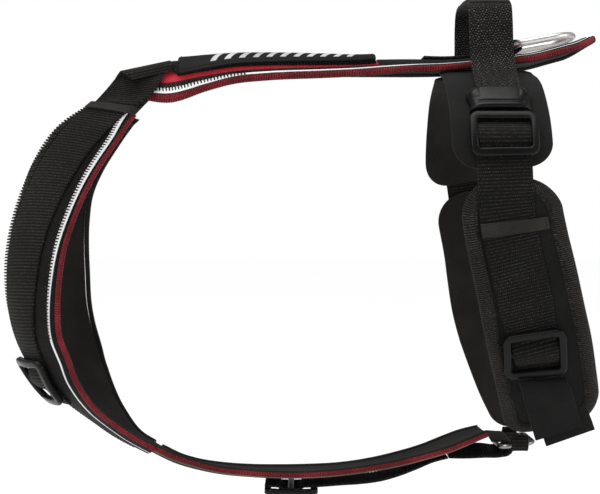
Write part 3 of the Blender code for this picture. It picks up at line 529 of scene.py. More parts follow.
def tube(rings: Array, along: Array, across: Array, closed: bool = False) -> Shape:
    """A closed skin over rings of points: row after row along it, column after column around it.

    Args:
        rings: Points, rows by columns by 3. The number of columns is even.
        along: Distance of each row, and of the first row again when the skin is closed.
        across: Distance of each point from the middle, rows by columns.
        closed: True where the last row joins the first one, or else both ends get a cap.

    Returns:
        The shape, facing out.
    """
    rows, columns = rings.shape[:2]
    row, column = np.meshgrid(np.arange(rows if closed else rows - 1), np.arange(columns), indexing="ij")
    after, turn = (row + 1) % rows, (column + 1) % columns
    corners = ((row, column), (row, turn), (after, turn), (after, column))
    faces = np.stack([r * columns + c for r, c in corners], axis=-1).reshape(-1, 4)
    far = np.stack([along[row], along[row], along[row + 1], along[row + 1]], axis=-1)
    over = np.stack([across[r, c] for r, c in corners], axis=-1)
    cloth = np.stack([far, over], axis=-1).reshape(-1, 4, 2)
    if not closed:
        left = np.arange(columns // 2 - 1)
        start = np.stack([columns - 1 - left, columns - 2 - left, left + 1, left], axis=1)
        for cap, place in ((start, 0), (start[:, ::-1], rows - 1)):
            faces = np.concatenate([faces, cap + place * columns])
            flat = np.stack([np.full(cap.shape, along[place]), across[place][cap]], axis=-1)
            cloth = np.concatenate([cloth, flat])
    return solid(rings, faces, cloth)


def wall(surface: Strap, stations: Array, sides: Array, low: Array | float, high: Array | float) -> Shape:
    """A closed wall over a grid: stations run along it, sides across it.

    Args:
        surface: The surface that the wall lies on.
        stations: One for each row, or one for each point.
        sides: One row, or one row for each station.
        low: Height of the inside, shaped as sides.
        high: Height of the outside, shaped as sides.

    Returns:
        The shape. Its finish number is 1 on the inside, where low is.
    """
    stations = np.asarray(stations, float)
    size = (len(stations), np.shape(sides)[-1])
    if stations.ndim == 1:
        stations = np.repeat(stations[:, None], size[1], axis=1)
    sides, low, high = (np.broadcast_to(np.asarray(a, float), size) for a in (sides, low, high))
    top, bottom = surface.place(stations, sides, high), surface.place(stations, sides, low)
    rings = np.concatenate([top, bottom[:, ::-1]], axis=1)
    across = np.concatenate([sides, sides[:, ::-1]], axis=1)
    shape = tube(rings, stations.mean(axis=1) * surface.length, across)
    column = np.arange((size[0] - 1) * size[1] * 2) % (size[1] * 2)
    shape.tint[: len(column)] = column >= size[1]
    return shape


def oval(half_width: float, half_height: float, count: int = 12, power: float = 2.0) -> Array:
    """Points round an oval: 2 is an ellipse, and a higher power is nearer to a rounded box.

    Args:
        half_width: Half size along the first column.
        half_height: Half size along the second column.
        count: How many points, an even number.
        power: The power that both coordinates follow.

    Returns:
        Rows of two numbers.
    """
    turn = 2 * np.pi * (np.arange(count) + 0.5) / count
    cos, sin = np.cos(turn), np.sin(turn)
    x = np.sign(cos) * np.abs(cos) ** (2 / power) * half_width
    y = np.sign(sin) * np.abs(sin) ** (2 / power) * half_height
    return np.stack([x, y], axis=1)


def folded(profile: Array) -> Array:
    """Distance round a closed profile from its first point, by the nearer way."""
    run = arc_lengths(looped(profile))
    return np.minimum(run[:-1], run[-1] - run[:-1])


def skin(rings: Array, line: Array, profile: Array, closed: bool) -> Shape:
    """The tube over rings of one profile, its cloth map read along the line and round the profile."""
    across = np.broadcast_to(folded(profile), rings.shape[:2])
    return tube(rings, arc_lengths(looped(line, closed)), across, closed)


def wire_loop(line: Array, out: Array, radius: float, count: int) -> Shape:
    """A round wire along a closed line in a plane: circles square to the line's directions.

    Args:
        line: Points of the line.
        out: The direction out of its plane.
        radius: Half the wire's thickness.
        count: Points round the wire.

    Returns:
        The shape.
    """
    profile = oval(radius, radius, count)
    direction = headings(line, True)
    out = unit(out - direction * (out * direction).sum(axis=1)[:, None])
    beside = np.cross(direction, out)
    rings = line[:, None] + beside[:, None] * profile[:, :1] + out[:, None] * profile[:, 1:]
    return skin(rings, line, profile, True)


def path_frame(path: Array, closed: bool = False) -> tuple[Array, Array]:
    """Direction and left-hand normal along a path in the plane of distance and side."""
    direction = headings(path, closed)
    return direction, np.stack([-direction[:, 1], direction[:, 0]], axis=1)


def moulding(
    surface: Strap, path: Array, profile: Array, closed: bool = False, scale: Array | None = None,
    parting: float | None = None,
) -> Shape:
    """A profile carried along a path that lies on a surface.

    Args:
        surface: The surface.
        path: Rows of distance along the strap and side, in mm.
        profile: Rows of inset, to the left of the path, and height.
        closed: True for a loop.
        scale: Size of the profile about its own middle at each point.
        parting: Height below which the faces get the second finish.

    Returns:
        The shape.
    """
    normal = path_frame(path, closed)[1]
    middle = profile.mean(axis=0)
    size = (np.ones(len(path)) if scale is None else scale)[:, None]
    inset, height = (middle[i] + (profile[:, i] - middle[i]) * size for i in (0, 1))
    rings = surface.at(path[:, None] + normal[:, None] * inset[..., None], height)
    shape = skin(rings, surface.at(path, 0.0), profile, closed)
    if parting is not None:
        middles = (profile[:, 1] + np.roll(profile[:, 1], -1)) / 2
        rows = len(path) if closed else len(path) - 1
        shape.tint[: rows * len(profile)] = np.tile(middles < parting, rows)
    return shape


def band(inner: float, outer: float, low: float, high: float, lean: float = 0.0) -> Array:
    """The profile of a thin flat band: four corners with small chamfers.

    Args:
        inner: Inset of the edge nearer to the path's left.
        outer: Inset of the other edge.
        low: Height of its underside.
        high: Height of its face.
        lean: How much lower the outer edge lies.

    Returns:
        Rows of inset and height.
    """
    nick = min(0.3, (high - low) / 3)
    return np.array(
        [(inner, low), (inner, high - nick), (inner - nick, high), (outer + nick, high - lean),
        (outer, high - nick - lean), (outer, low - lean)]
    )


BLOCK_FACES = np.array([(0, 3, 2, 1), (4, 5, 6, 7), (0, 1, 5, 4), (1, 2, 6, 5), (2, 3, 7, 6), (3, 0, 4, 7)])


def teeth(
    surface: Strap, path: Array, pitch: float, insets: Pair, heights: Pair, widths: Pair,
    thickness: float = 0.7,
) -> Shape:
    """A row of small tapered blocks that lie across a path, like the teeth of a comb.

    Args:
        surface: The surface.
        path: Rows of distance along the strap and side, in mm.
        pitch: Distance from tooth to tooth.
        insets: Where each tooth starts and ends, to the left of the path.
        heights: Height of its face at the start and the end.
        widths: Its width at the start and the end.
        thickness: Its thickness.

    Returns:
        All the teeth as one shape.
    """
    spots = evenly(path, pitch)
    direction, normal = path_frame(spots)
    start, end = insets
    corner_inset = np.array([start, start, end, end])
    corner_along = np.array([-widths[0], widths[0], widths[1], -widths[1]]) / 2
    flat = spots[:, None] + normal[:, None] * corner_inset[:, None]
    flat = flat + direction[:, None] * corner_along[:, None]
    face = np.array([heights[0], heights[0], heights[1], heights[1]])
    points = np.concatenate([surface.at(flat, face - thickness), surface.at(flat, face)], axis=1)
    faces = (np.arange(len(spots))[:, None, None] * 8 + BLOCK_FACES).reshape(-1, 4)
    cloth = np.concatenate([flat, flat], axis=1).reshape(-1, 2)[faces]
    return solid(points, faces, cloth)


def stitches(
    surface: Strap, path: Array, height: float, pitch: float, length: float, radius: float,
) -> Shape:
    """A seam: short round-ended threads end to end along a path.

    Each stitch has four rings of six points, the outer two a third as wide, and it dips at both ends.

    Args:
        surface: The surface.
        path: Rows of distance along the strap and side, in mm.
        height: Height of the thread's middle.
        pitch: Distance from stitch to stitch.
        length: Length of a stitch.
        radius: Half the thread's thickness.

    Returns:
        All the stitches as one shape.
    """
    spots = evenly(path, pitch)
    spots = (spots[1:] + spots[:-1]) / 2
    direction = path_frame(spots)[0]
    line = surface.at(spots, height)
    out = unit(surface.at(spots, height + 1.0) - line)
    forward = unit(surface.at(spots + direction * 0.5, height) - line)
    beside = np.cross(forward, out)
    along = np.array([-0.5, -0.3, 0.3, 0.5]) * length
    size = np.array([0.35, 1.0, 1.0, 0.35]) * radius
    dip = np.array([-0.5, 0.0, 0.0, -0.5]) * radius
    turn = 2 * np.pi * (np.arange(6) + 0.5) / 6
    points = (
        line[:, None, None] + forward[:, None, None] * along[:, None, None]
        + out[:, None, None] * (dip[:, None] + size[:, None] * np.sin(turn))[..., None]
        + beside[:, None, None] * (size[:, None] * np.cos(turn))[..., None]
    )
    base = tube(points[0], along, np.zeros((4, 6)))
    faces = (np.arange(len(spots))[:, None, None] * 24 + base.faces).reshape(-1, 4)
    return solid(points, faces, np.tile(base.cloth, (len(spots), 1, 1)))


def rounded_rectangle(half_along: float, half_across: float, radius: float, step: float = 0.8) -> Array:
    """A closed path round a rectangle with round corners, as evenly spread points.

    Args:
        half_along: Half length.
        half_across: Half width.
        radius: Corner radius.
        step: Distance between neighbours.

    Returns:
        Rows of along and across, without the first point again at the end.
    """
    turns = np.linspace(0.0, np.pi / 2, 16)
    corners = ((1, 1, 0.0), (-1, 1, 0.5), (-1, -1, 1.0), (1, -1, 1.5))
    arcs = [
        np.array([a * (half_along - radius), b * (half_across - radius)])
        + radius * np.stack([np.cos(turns + q * np.pi), np.sin(turns + q * np.pi)], axis=1)
        for a, b, q in corners
    ]
    ring = np.concatenate(arcs + [arcs[0][:1]])
    return evenly(ring, step)[:-1]


def cosine_ribs(along: Array, pitch: float, depth: float) -> Array:
    """Heights of rounded ribs across a strap: a cosine wave of the distance, sharpened."""
    return depth * (0.5 + 0.5 * np.cos(2 * np.pi * along / pitch)) ** 0.7


# Finishes


class NodeSketch:
    """Adds nodes to one shader tree, each in a line."""

    def __init__(self, tree: Tree) -> None:
        """Keeps the tree."""
        self.tree = tree

    def add(self, kind: str, **settings: object) -> Node:
        """A new node of this kind with these settings."""
        node = self.tree.nodes.new(kind)
        for key, value in settings.items():
            setattr(node, key, value)
        return node

    def feed(self, socket: Socket, value: object) -> None:
        """Links a socket to another one, or sets its number or colour."""
        if isinstance(value, Socket):
            self.tree.links.new(value, socket)
        else:
            socket.default_value = value

    def math(self, operation: str, *values: object) -> Socket:
        """The result of one operation on sockets and numbers."""
        node = self.add("ShaderNodeMath", operation=operation)
        for socket, value in zip(node.inputs, values):
            self.feed(socket, value)
        return node.outputs[0]

    def split(self, vector: Socket) -> tuple[Socket, Socket]:
        """The first two numbers of a vector."""
        node = self.add("ShaderNodeSeparateXYZ")
        self.feed(node.inputs[0], vector)
        return node.outputs["X"], node.outputs["Y"]

    def wave(self, value: Socket, pitch: object) -> Socket:
        """Half of one plus the cosine of a distance in turns of one pitch."""
        turns = self.math("MULTIPLY", self.math("DIVIDE", value, pitch), 2 * math.pi)
        return self.math("MULTIPLY_ADD", self.math("COSINE", turns), 0.5, 0.5)

    def noise(self, vector: Socket, scale: object, detail: float = 2.0) -> Socket:
        """Soft noise from 0 to 1."""
        node = self.add("ShaderNodeTexNoise")
        self.feed(node.inputs["Vector"], vector)
        self.feed(node.inputs["Scale"], scale)
        node.inputs["Detail"].default_value = detail
        return node.outputs["Fac"]

    def range(self, value: Socket, low: float, high: float, start: float = 0.0, end: float = 1.0) -> Socket:
        """A value spread from low to high onto start to end, smooth at both."""
        node = self.add("ShaderNodeMapRange", interpolation_type="SMOOTHSTEP")
        for name, number in (("From Min", low), ("From Max", high), ("To Min", start), ("To Max", end)):
            node.inputs[name].default_value = number
        self.feed(node.inputs["Value"], value)
        return node.outputs["Result"]

    def mix(self, factor: object, first: object, second: object) -> Socket:
        """Two colours blended by a factor."""
        node = self.add("ShaderNodeMix", data_type="RGBA")
        self.feed(node.inputs["Factor"], factor)
        self.feed(node.inputs[6], first)
        self.feed(node.inputs[7], second)
        return node.outputs[2]

    def bump(self, height: Socket, depth: float, strength: float) -> Socket:
        """The normal of a relief whose height 1 is this deep, in mm."""
        node = self.add("ShaderNodeBump")
        node.inputs["Strength"].default_value = strength
        node.inputs["Distance"].default_value = depth * MM
        self.feed(node.inputs["Height"], height)
        return node.outputs["Normal"]

    def group(self, tree: Tree, **values: object) -> Node:
        """A placed node group, its inputs named with underscores for blanks."""
        node = self.add("ShaderNodeGroup", node_tree=tree)
        for key, value in values.items():
            self.feed(node.inputs[key.replace("_", " ")], value)
        return node


def new_group(
    name: str, inputs: Sequence[tuple[str, float | None]], outputs: Sequence[str]
) -> tuple[Tree, NodeSketch, Node, Node]:
    """An empty node group with its sockets.

    Args:
        name: The group's name.
        inputs: Names with their usual numbers, None for a vector.
        outputs: Names of the values that it gives.

    Returns:
        The group, a sketch for it, its input node and its output node.
    """
    tree = bpy.data.node_groups.new(name, "ShaderNodeTree")
    for label, value in inputs:
        kind = "NodeSocketVector" if value is None else "NodeSocketFloat"
        socket = tree.interface.new_socket(name=label, in_out="INPUT", socket_type=kind)
        if value is not None:
            socket.default_value = value
    for label in outputs:
        tree.interface.new_socket(name=label, in_out="OUTPUT", socket_type="NodeSocketFloat")
    sketch = NodeSketch(tree)
    return tree, sketch, sketch.add("NodeGroupInput"), sketch.add("NodeGroupOutput")


def weave_group() -> Tree:
    """Webbing: rounded rows across the strap, broken into staggered dots of thread.

    The rows bend in a zigzag across the strap. The height is the row's wave times a share of the
    dots' wave. The painted highlight is the tops of the dots, where soft noise lets them catch the light.

    Returns:
        The group.
    """
    tree, sketch, given, out = new_group(
        "woven_rows",
        [("Vector", None), ("Row Pitch", 2.5), ("Dot Pitch", 1.3), ("Wobble", 0.4), ("Zigzag", 0.0)],
        ["Height", "Highlight"],
    )
    vector, row_pitch, dot_pitch = (given.outputs[name] for name in ("Vector", "Row Pitch", "Dot Pitch"))
    x, y = sketch.split(vector)
    drift = sketch.math("SUBTRACT", sketch.noise(vector, 0.35), 0.5)
    drift = sketch.math("MULTIPLY", drift, given.outputs["Wobble"])
    zigzag = sketch.math("MULTIPLY", sketch.wave(y, 6.2), given.outputs["Zigzag"])
    along = sketch.math("ADD", sketch.math("ADD", x, drift), zigzag)
    rows = sketch.wave(along, row_pitch)
    count = sketch.math("ROUND", sketch.math("DIVIDE", along, row_pitch))
    half = sketch.math("MULTIPLY", count, sketch.math("MULTIPLY", dot_pitch, 0.5))
    across = sketch.math("ADD", sketch.math("ADD", y, half), drift)
    dots = sketch.wave(across, dot_pitch)
    height = sketch.math("MULTIPLY", rows, sketch.math("MULTIPLY_ADD", dots, 0.6, 0.4))
    sketch.feed(out.inputs["Height"], height)
    # Painted highlight: the dots' tops are made lighter where soft noise lets them catch the light.
    glint = sketch.range(sketch.noise(vector, 1.1, 3.0), 0.42, 0.66)
    sketch.feed(out.inputs["Highlight"], sketch.math("MULTIPLY", sketch.range(height, 0.45, 0.95), glint))
    return tree


def ribs_group() -> Tree:
    """Fine ribs: a cosine of the distance along, leaning by a share of the distance across.

    Returns:
        The group.
    """
    tree, sketch, given, out = new_group(
        "fine_ribs", [("Vector", None), ("Pitch", 1.1), ("Lean", 0.0)], ["Height", "Highlight"]
    )
    vector = given.outputs["Vector"]
    x, y = sketch.split(vector)
    drift = sketch.math("SUBTRACT", sketch.noise(vector, 0.5), 0.5)
    lean = sketch.math("MULTIPLY", y, given.outputs["Lean"])
    along = sketch.math("ADD", sketch.math("ADD", x, lean), drift)
    height = sketch.wave(along, given.outputs["Pitch"])
    sketch.feed(out.inputs["Height"], height)
    # Painted highlight: the rib crests are made lighter where soft noise lets them catch the light.
    glint = sketch.range(sketch.noise(vector, 1.6, 3.0), 0.45, 0.7)
    sketch.feed(out.inputs["Highlight"], sketch.math("MULTIPLY", height, glint))
    return tree


def grain_group() -> Tree:
    """Grain: a broad change of tone and a fine relief, both soft noise.

    Returns:
        The group.
    """
    tree, sketch, given, out = new_group(
        "fibre_grain", [("Vector", None), ("Broad", 38.0), ("Fine", 1500.0)], ["Tone", "Height"]
    )
    vector = given.outputs["Vector"]
    broad = sketch.noise(vector, given.outputs["Broad"], 3.0)
    sketch.feed(out.inputs["Tone"], sketch.range(broad, 0.3, 0.7))
    sketch.feed(out.inputs["Height"], sketch.noise(vector, given.outputs["Fine"]))
    return tree


@dataclass(frozen=True)
class Finish:
    """What a surface is made of."""

    name: str

    def material(self) -> bpy.types.Material:
        """The material, made on its first use.

        Returns:
            A Principled material that the finish's own paint method has set.
        """
        known = bpy.data.materials.get(self.name)
        if known:
            return known
        material = bpy.data.materials.new(self.name)
        material.use_nodes = True
        sketch = NodeSketch(material.node_tree)
        coordinates = sketch.add("ShaderNodeTexCoord")
        grain = sketch.group(Groups.grain, Vector=coordinates.outputs["Object"])
        self.paint(sketch, material.node_tree.nodes["Principled BSDF"].inputs, grain.outputs)
        return material

    def paint(self, sketch: NodeSketch, shader: Sockets, grain: Sockets) -> None:
        """Sets the shader's sockets, which each kind of finish does in its own way."""
        raise NotImplementedError


@dataclass(frozen=True)
class ClothFinish(Finish):
    """A woven, ribbed or knitted cloth."""

    # The first colour is painted shade in the valleys between ribs and dots, the second the cloth's own
    # colour.
    shaded_valley: Colour
    base: Colour
    # The third colour is a painted highlight on the tops of the ribs and dots.
    painted_highlight: Colour
    pattern: Pattern = Pattern.WEAVE
    pitch: float = 2.5
    dots: float = 1.3
    lean: float = 0.0
    zigzag: float = 0.0
    bump: float = 0.35
    roughness: float = 0.8
    sheen: float = 0.04
    tone: float = 0.2

    def paint(self, sketch: NodeSketch, shader: Sockets, grain: Sockets) -> None:
        """Colour and bump that follow the cloth map, with the grain's tone over them.

        Args:
            sketch: The material's nodes.
            shader: The shader's sockets.
            grain: What the grain gives.
        """
        uv = sketch.add("ShaderNodeUVMap", uv_map=CLOTH_MAP)
        place = sketch.add("ShaderNodeMapping")
        place.inputs["Scale"].default_value = (CLOTH_UNIT, CLOTH_UNIT, 1.0)
        sketch.feed(place.inputs["Vector"], uv.outputs["UV"])
        vector = place.outputs["Vector"]
        if self.pattern is Pattern.WEAVE:
            sizes = {"Row_Pitch": self.pitch, "Dot_Pitch": self.dots, "Zigzag": self.zigzag}
            cloth = sketch.group(Groups.weave, Vector=vector, **sizes).outputs
        else:
            cloth = sketch.group(Groups.ribs, Vector=vector, Pitch=self.pitch, Lean=self.lean).outputs
        # Painted shade: a darker colour in the valleys between ribs and dots.
        colour = sketch.mix(sketch.range(cloth["Height"], 0.1, 0.7), (*self.shaded_valley, 1.0), (*self.base, 1.0))
        # Painted highlight: a lighter colour on the tops that catch the light.
        colour = sketch.mix(cloth["Highlight"], colour, (*self.painted_highlight, 1.0))
        shade = sketch.range(grain["Tone"], 0.0, 1.0, 1.0 - self.tone, 1.0 + self.tone)
        scale = sketch.add("ShaderNodeVectorMath", operation="SCALE")
        sketch.feed(scale.inputs[0], colour)
        sketch.feed(scale.inputs["Scale"], shade)
        sketch.feed(shader["Base Color"], scale.outputs["Vector"])
        relief = sketch.math("MULTIPLY_ADD", grain["Height"], 0.35, cloth["Height"])
        sketch.feed(shader["Normal"], sketch.bump(relief, self.bump, 1.0))
        rough = sketch.math("MULTIPLY_ADD", cloth["Highlight"], -0.25, self.roughness)
        sketch.feed(shader["Roughness"], rough)
        shader["Sheen Weight"].default_value = self.sheen
        shader["Sheen Roughness"].default_value = 0.5
        shader["Specular IOR Level"].default_value = 0.12


@dataclass(frozen=True)
class SmoothFinish(Finish):
    """Moulded plastic, coated tape or metal, with a fine grain and faint scuffs."""

    base: Colour
    scuffed: Colour
    roughness: float = 0.35
    metallic: float = 0.0
    specular: float = 0.5
    bump: float = 0.05

    def paint(self, sketch: NodeSketch, shader: Sockets, grain: Sockets) -> None:
        """Tone and gloss that vary a little over the object.

        Args:
            sketch: The material's nodes.
            shader: The shader's sockets.
            grain: What the grain gives.
        """
        colour = sketch.mix(grain["Tone"], (*self.base, 1.0), (*self.scuffed, 1.0))
        sketch.feed(shader["Base Color"], colour)
        rough = sketch.math("MULTIPLY_ADD", grain["Tone"], 0.12, self.roughness)
        sketch.feed(shader["Roughness"], rough)
        sketch.feed(shader["Normal"], sketch.bump(grain["Height"], self.bump, 0.6))
        shader["Metallic"].default_value = self.metallic
        shader["Specular IOR Level"].default_value = self.specular


class Groups:
    """The shared node groups, built once."""

    weave = weave_group()
    ribs = ribs_group()
    grain = grain_group()


# Each cloth gives the painted shade of its valleys, its own colour and the painted highlight on its tops.
HANDLE_CLOTH = ClothFinish(
    "handle_webbing", (0.0015, 0.0015, 0.0015), (0.006, 0.0055, 0.005), (0.16, 0.145, 0.13),
    pitch=2.0, dots=2.1, zigzag=0.9, bump=0.45, roughness=0.75,
)
WEBBING_CLOTH = ClothFinish(
    "strap_webbing", (0.003, 0.003, 0.0025), (0.010, 0.009, 0.0075), (0.060, 0.053, 0.044),
    pitch=2.3, dots=1.2, bump=0.22,
)
GIRTH_CLOTH = ClothFinish(
    "girth_webbing_weave", (0.002, 0.002, 0.0018), (0.005, 0.0045, 0.004), (0.06, 0.053, 0.044),
    pitch=2.4, dots=1.5, bump=0.25,
)
PLAIN_STRAP = ClothFinish(
    "plain_strap", (0.003, 0.003, 0.003), (0.0045, 0.004, 0.004), (0.016, 0.014, 0.012),
    pattern=Pattern.RIBS, pitch=0.9, lean=0.6, bump=0.10, roughness=0.7,
)
PAD_CLOTH = ClothFinish(
    "pad_fabric", (0.002, 0.002, 0.002), (0.006, 0.0055, 0.005), (0.028, 0.025, 0.022),
    pattern=Pattern.RIBS, pitch=1.5, lean=0.8, bump=0.20, roughness=0.85,
)
BORDER_CLOTH = ClothFinish(
    "pad_border", (0.0012, 0.0012, 0.0012), (0.009, 0.008, 0.007), (0.085, 0.076, 0.062),
    pattern=Pattern.RIBS, pitch=1.6, bump=0.45, roughness=0.8,
)
CHANNEL_CLOTH = ClothFinish(
    "pad_channel", (0.003, 0.003, 0.003), (0.006, 0.0055, 0.005), (0.012, 0.011, 0.010),
    pattern=Pattern.RIBS, pitch=1.4, lean=1.0, bump=0.10, roughness=0.8,
)
LINING_CLOTH = ClothFinish(
    "lining", (0.006, 0.005, 0.005), (0.012, 0.0105, 0.0095), (0.028, 0.024, 0.021),
    pattern=Pattern.RIBS, pitch=1.2, lean=1.0, bump=0.08, roughness=0.8,
)
RED_RIBS = ClothFinish(
    "red_binding_ribs", (0.035, 0.002, 0.004), (0.19, 0.008, 0.014), (0.38, 0.060, 0.070),
    pattern=Pattern.RIBS, pitch=1.25, bump=0.40, roughness=0.7, tone=0.25,
)
RED_CLOTH = ClothFinish(
    "red_pad_fabric", (0.42, 0.014, 0.026), (0.56, 0.022, 0.038), (0.68, 0.09, 0.10),
    pattern=Pattern.RIBS, pitch=0.9, lean=1.0, bump=0.10, roughness=0.7, tone=0.10,
)
HOOK_CLOTH = ClothFinish(
    "hook_fabric", (0.002, 0.002, 0.002), (0.006, 0.006, 0.006), (0.035, 0.032, 0.030),
    pitch=1.2, dots=1.2, bump=0.4, roughness=0.9,
)
ELASTIC_CLOTH = ClothFinish(
    "elastic_band", (0.012, 0.011, 0.009), (0.019, 0.0172, 0.0145), (0.034, 0.030, 0.025),
    pattern=Pattern.RIBS, pitch=0.9, bump=0.05, roughness=0.7,
)
THREAD = ClothFinish(
    "black_thread", (0.01, 0.01, 0.01), (0.022, 0.020, 0.018), (0.08, 0.07, 0.06),
    pattern=Pattern.RIBS, pitch=0.5, lean=1.0, bump=0.08, roughness=0.6,
)
SEAM_THREAD = ClothFinish(
    "dark_thread", (0.001, 0.001, 0.001), (0.002, 0.002, 0.002), (0.01, 0.01, 0.01),
    pattern=Pattern.RIBS, pitch=0.5, lean=1.0, bump=0.05, roughness=0.7,
)
LABEL_FACE = SmoothFinish(
    "label_face", (0.004, 0.004, 0.004), (0.007, 0.007, 0.006), roughness=0.6, specular=0.12
)
REFLECTIVE = SmoothFinish("reflective_tape", (0.72, 0.72, 0.73), (0.82, 0.82, 0.83), roughness=0.45)
BAR_FILM = SmoothFinish("label_bar_film", (0.42, 0.42, 0.43), (0.60, 0.60, 0.61), roughness=0.4)
PLASTIC = SmoothFinish(
    "moulded_plastic", (0.003, 0.003, 0.003), (0.006, 0.0058, 0.0055), roughness=0.22, specular=0.14
)
EDGE_LINE = SmoothFinish(
    "piping_line", (0.13, 0.125, 0.085), (0.20, 0.19, 0.14), roughness=0.6, specular=0.2
)
# Painted shade: the leash ring's steel made darker for the belly ring, which mirrors the dark straps round
# it.
RING_SHADE = SmoothFinish(
    "shaded_steel", (0.20, 0.195, 0.19), (0.30, 0.295, 0.29), roughness=0.22, metallic=1.0, bump=0.01
)
STEEL = SmoothFinish(
    "polished_steel", (0.60, 0.575, 0.55), (0.72, 0.70, 0.68), roughness=0.34, metallic=1.0, bump=0.01
)


# Pieces


@dataclass(frozen=True)
class Cut:
    """The flat size of the cloth that shows in a piece, in mm, and how it is held."""

    width: float
    length: float
    hold: Hold
    rests_on: tuple[str, ...] = ()


@dataclass(frozen=True)
class Use:
    """What a piece stands for, and what it is made of."""

    slot: Slot
    finishes: tuple[Finish, ...]
    stands_for: tuple[str, ...] = ()
    body: Body = Body.HARNESS
    cut: Cut | None = None
    fill: float | None = None
    crease: float = 45.0


def new_object(name: str, data: bpy.types.ID) -> bpy.types.Object:
    """A new object in the scene, at the origin."""
    made = bpy.data.objects.new(name, data)
    bpy.context.scene.collection.objects.link(made)
    return made


def place_piece(name: str, shape: Shape, use: Use) -> bpy.types.Object:
    """Makes a shape a finished piece of the harness.

    Args:
        name: The piece's name.
        shape: Its mesh, in mm.
        use: Its finishes, body and crease, and the solids it replaces; its slot, cut and filling are not
            read here.

    Returns:
        The object.
    """
    mesh = bpy.data.meshes.new(name)
    faces = shape.faces
    mesh.vertices.add(len(shape.points))
    mesh.vertices.foreach_set("co", (shape.points * MM).ravel())
    mesh.loops.add(faces.size)
    mesh.loops.foreach_set("vertex_index", faces.ravel())
    mesh.polygons.add(len(faces))
    mesh.polygons.foreach_set("loop_start", np.arange(0, faces.size, 4))
    mesh.polygons.foreach_set("material_index", np.minimum(shape.tint, len(use.finishes) - 1))
    mesh.uv_layers.new(name=CLOTH_MAP).data.foreach_set("uv", (shape.cloth / CLOTH_UNIT).ravel())
    mesh.update(calc_edges=True)
    mesh.validate()
    mesh.shade_smooth()
    mesh.set_sharp_from_angle(angle=math.radians(use.crease))
    for finish in use.finishes:
        mesh.materials.append(finish.material())
    piece = new_object(name, mesh)
    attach(piece, use.body.value)
    if use.stands_for:
        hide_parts(*use.stands_for)
    LOG.info("%s: %d faces, for %s", name, len(faces), ", ".join(use.stands_for) or "itself")
    return piece


def place_pair(name: str, make: Callable[[Strap], Shape], surface: Strap, use: Use) -> None:
    """Makes a near piece on a surface and a far one on its twin.

    Args:
        name: The pair's name, to which near and far are added.
        make: Gives the shape on either surface, in the near side's signs.
        surface: The near surface.
        use: As for place_piece, with the solids' names without near and far.
    """
    for side, strap in (("near", surface), ("far", surface.twin)):
        shape = make(strap)
        stands_for = tuple(f"{node}_{side}" for node in use.stands_for)
        own = replace(use, stands_for=stands_for)
        place_piece(f"{name}_{side}", shape.mirrored() if side == "far" else shape, own)


def pad_section(ratio: Array, half: float, edge: float = 0.45, power: float = 6.0) -> Array:
    """Half thicknesses across a pad: full in the middle and thinner towards both edges."""
    return half * (edge + (1 - edge) * (1 - np.abs(ratio) ** power))


def hump(distance: Array) -> Array:
    """Extra height of webbing over a slide's middle bar: a smooth hill of the distance to the bar."""
    return BAR_RISE * np.clip(1 - (distance / BAR_CLIMB) ** 2, 0.0, 1.0) ** 1.2


def binding_ripple(path: Array) -> Array:
    """Sizes of a binding along its path: a shallow cosine wave with one turn for each rib."""
    return 1 + 0.05 * np.cos(2 * np.pi * arc_lengths(path) / RED_RIBS.pitch)


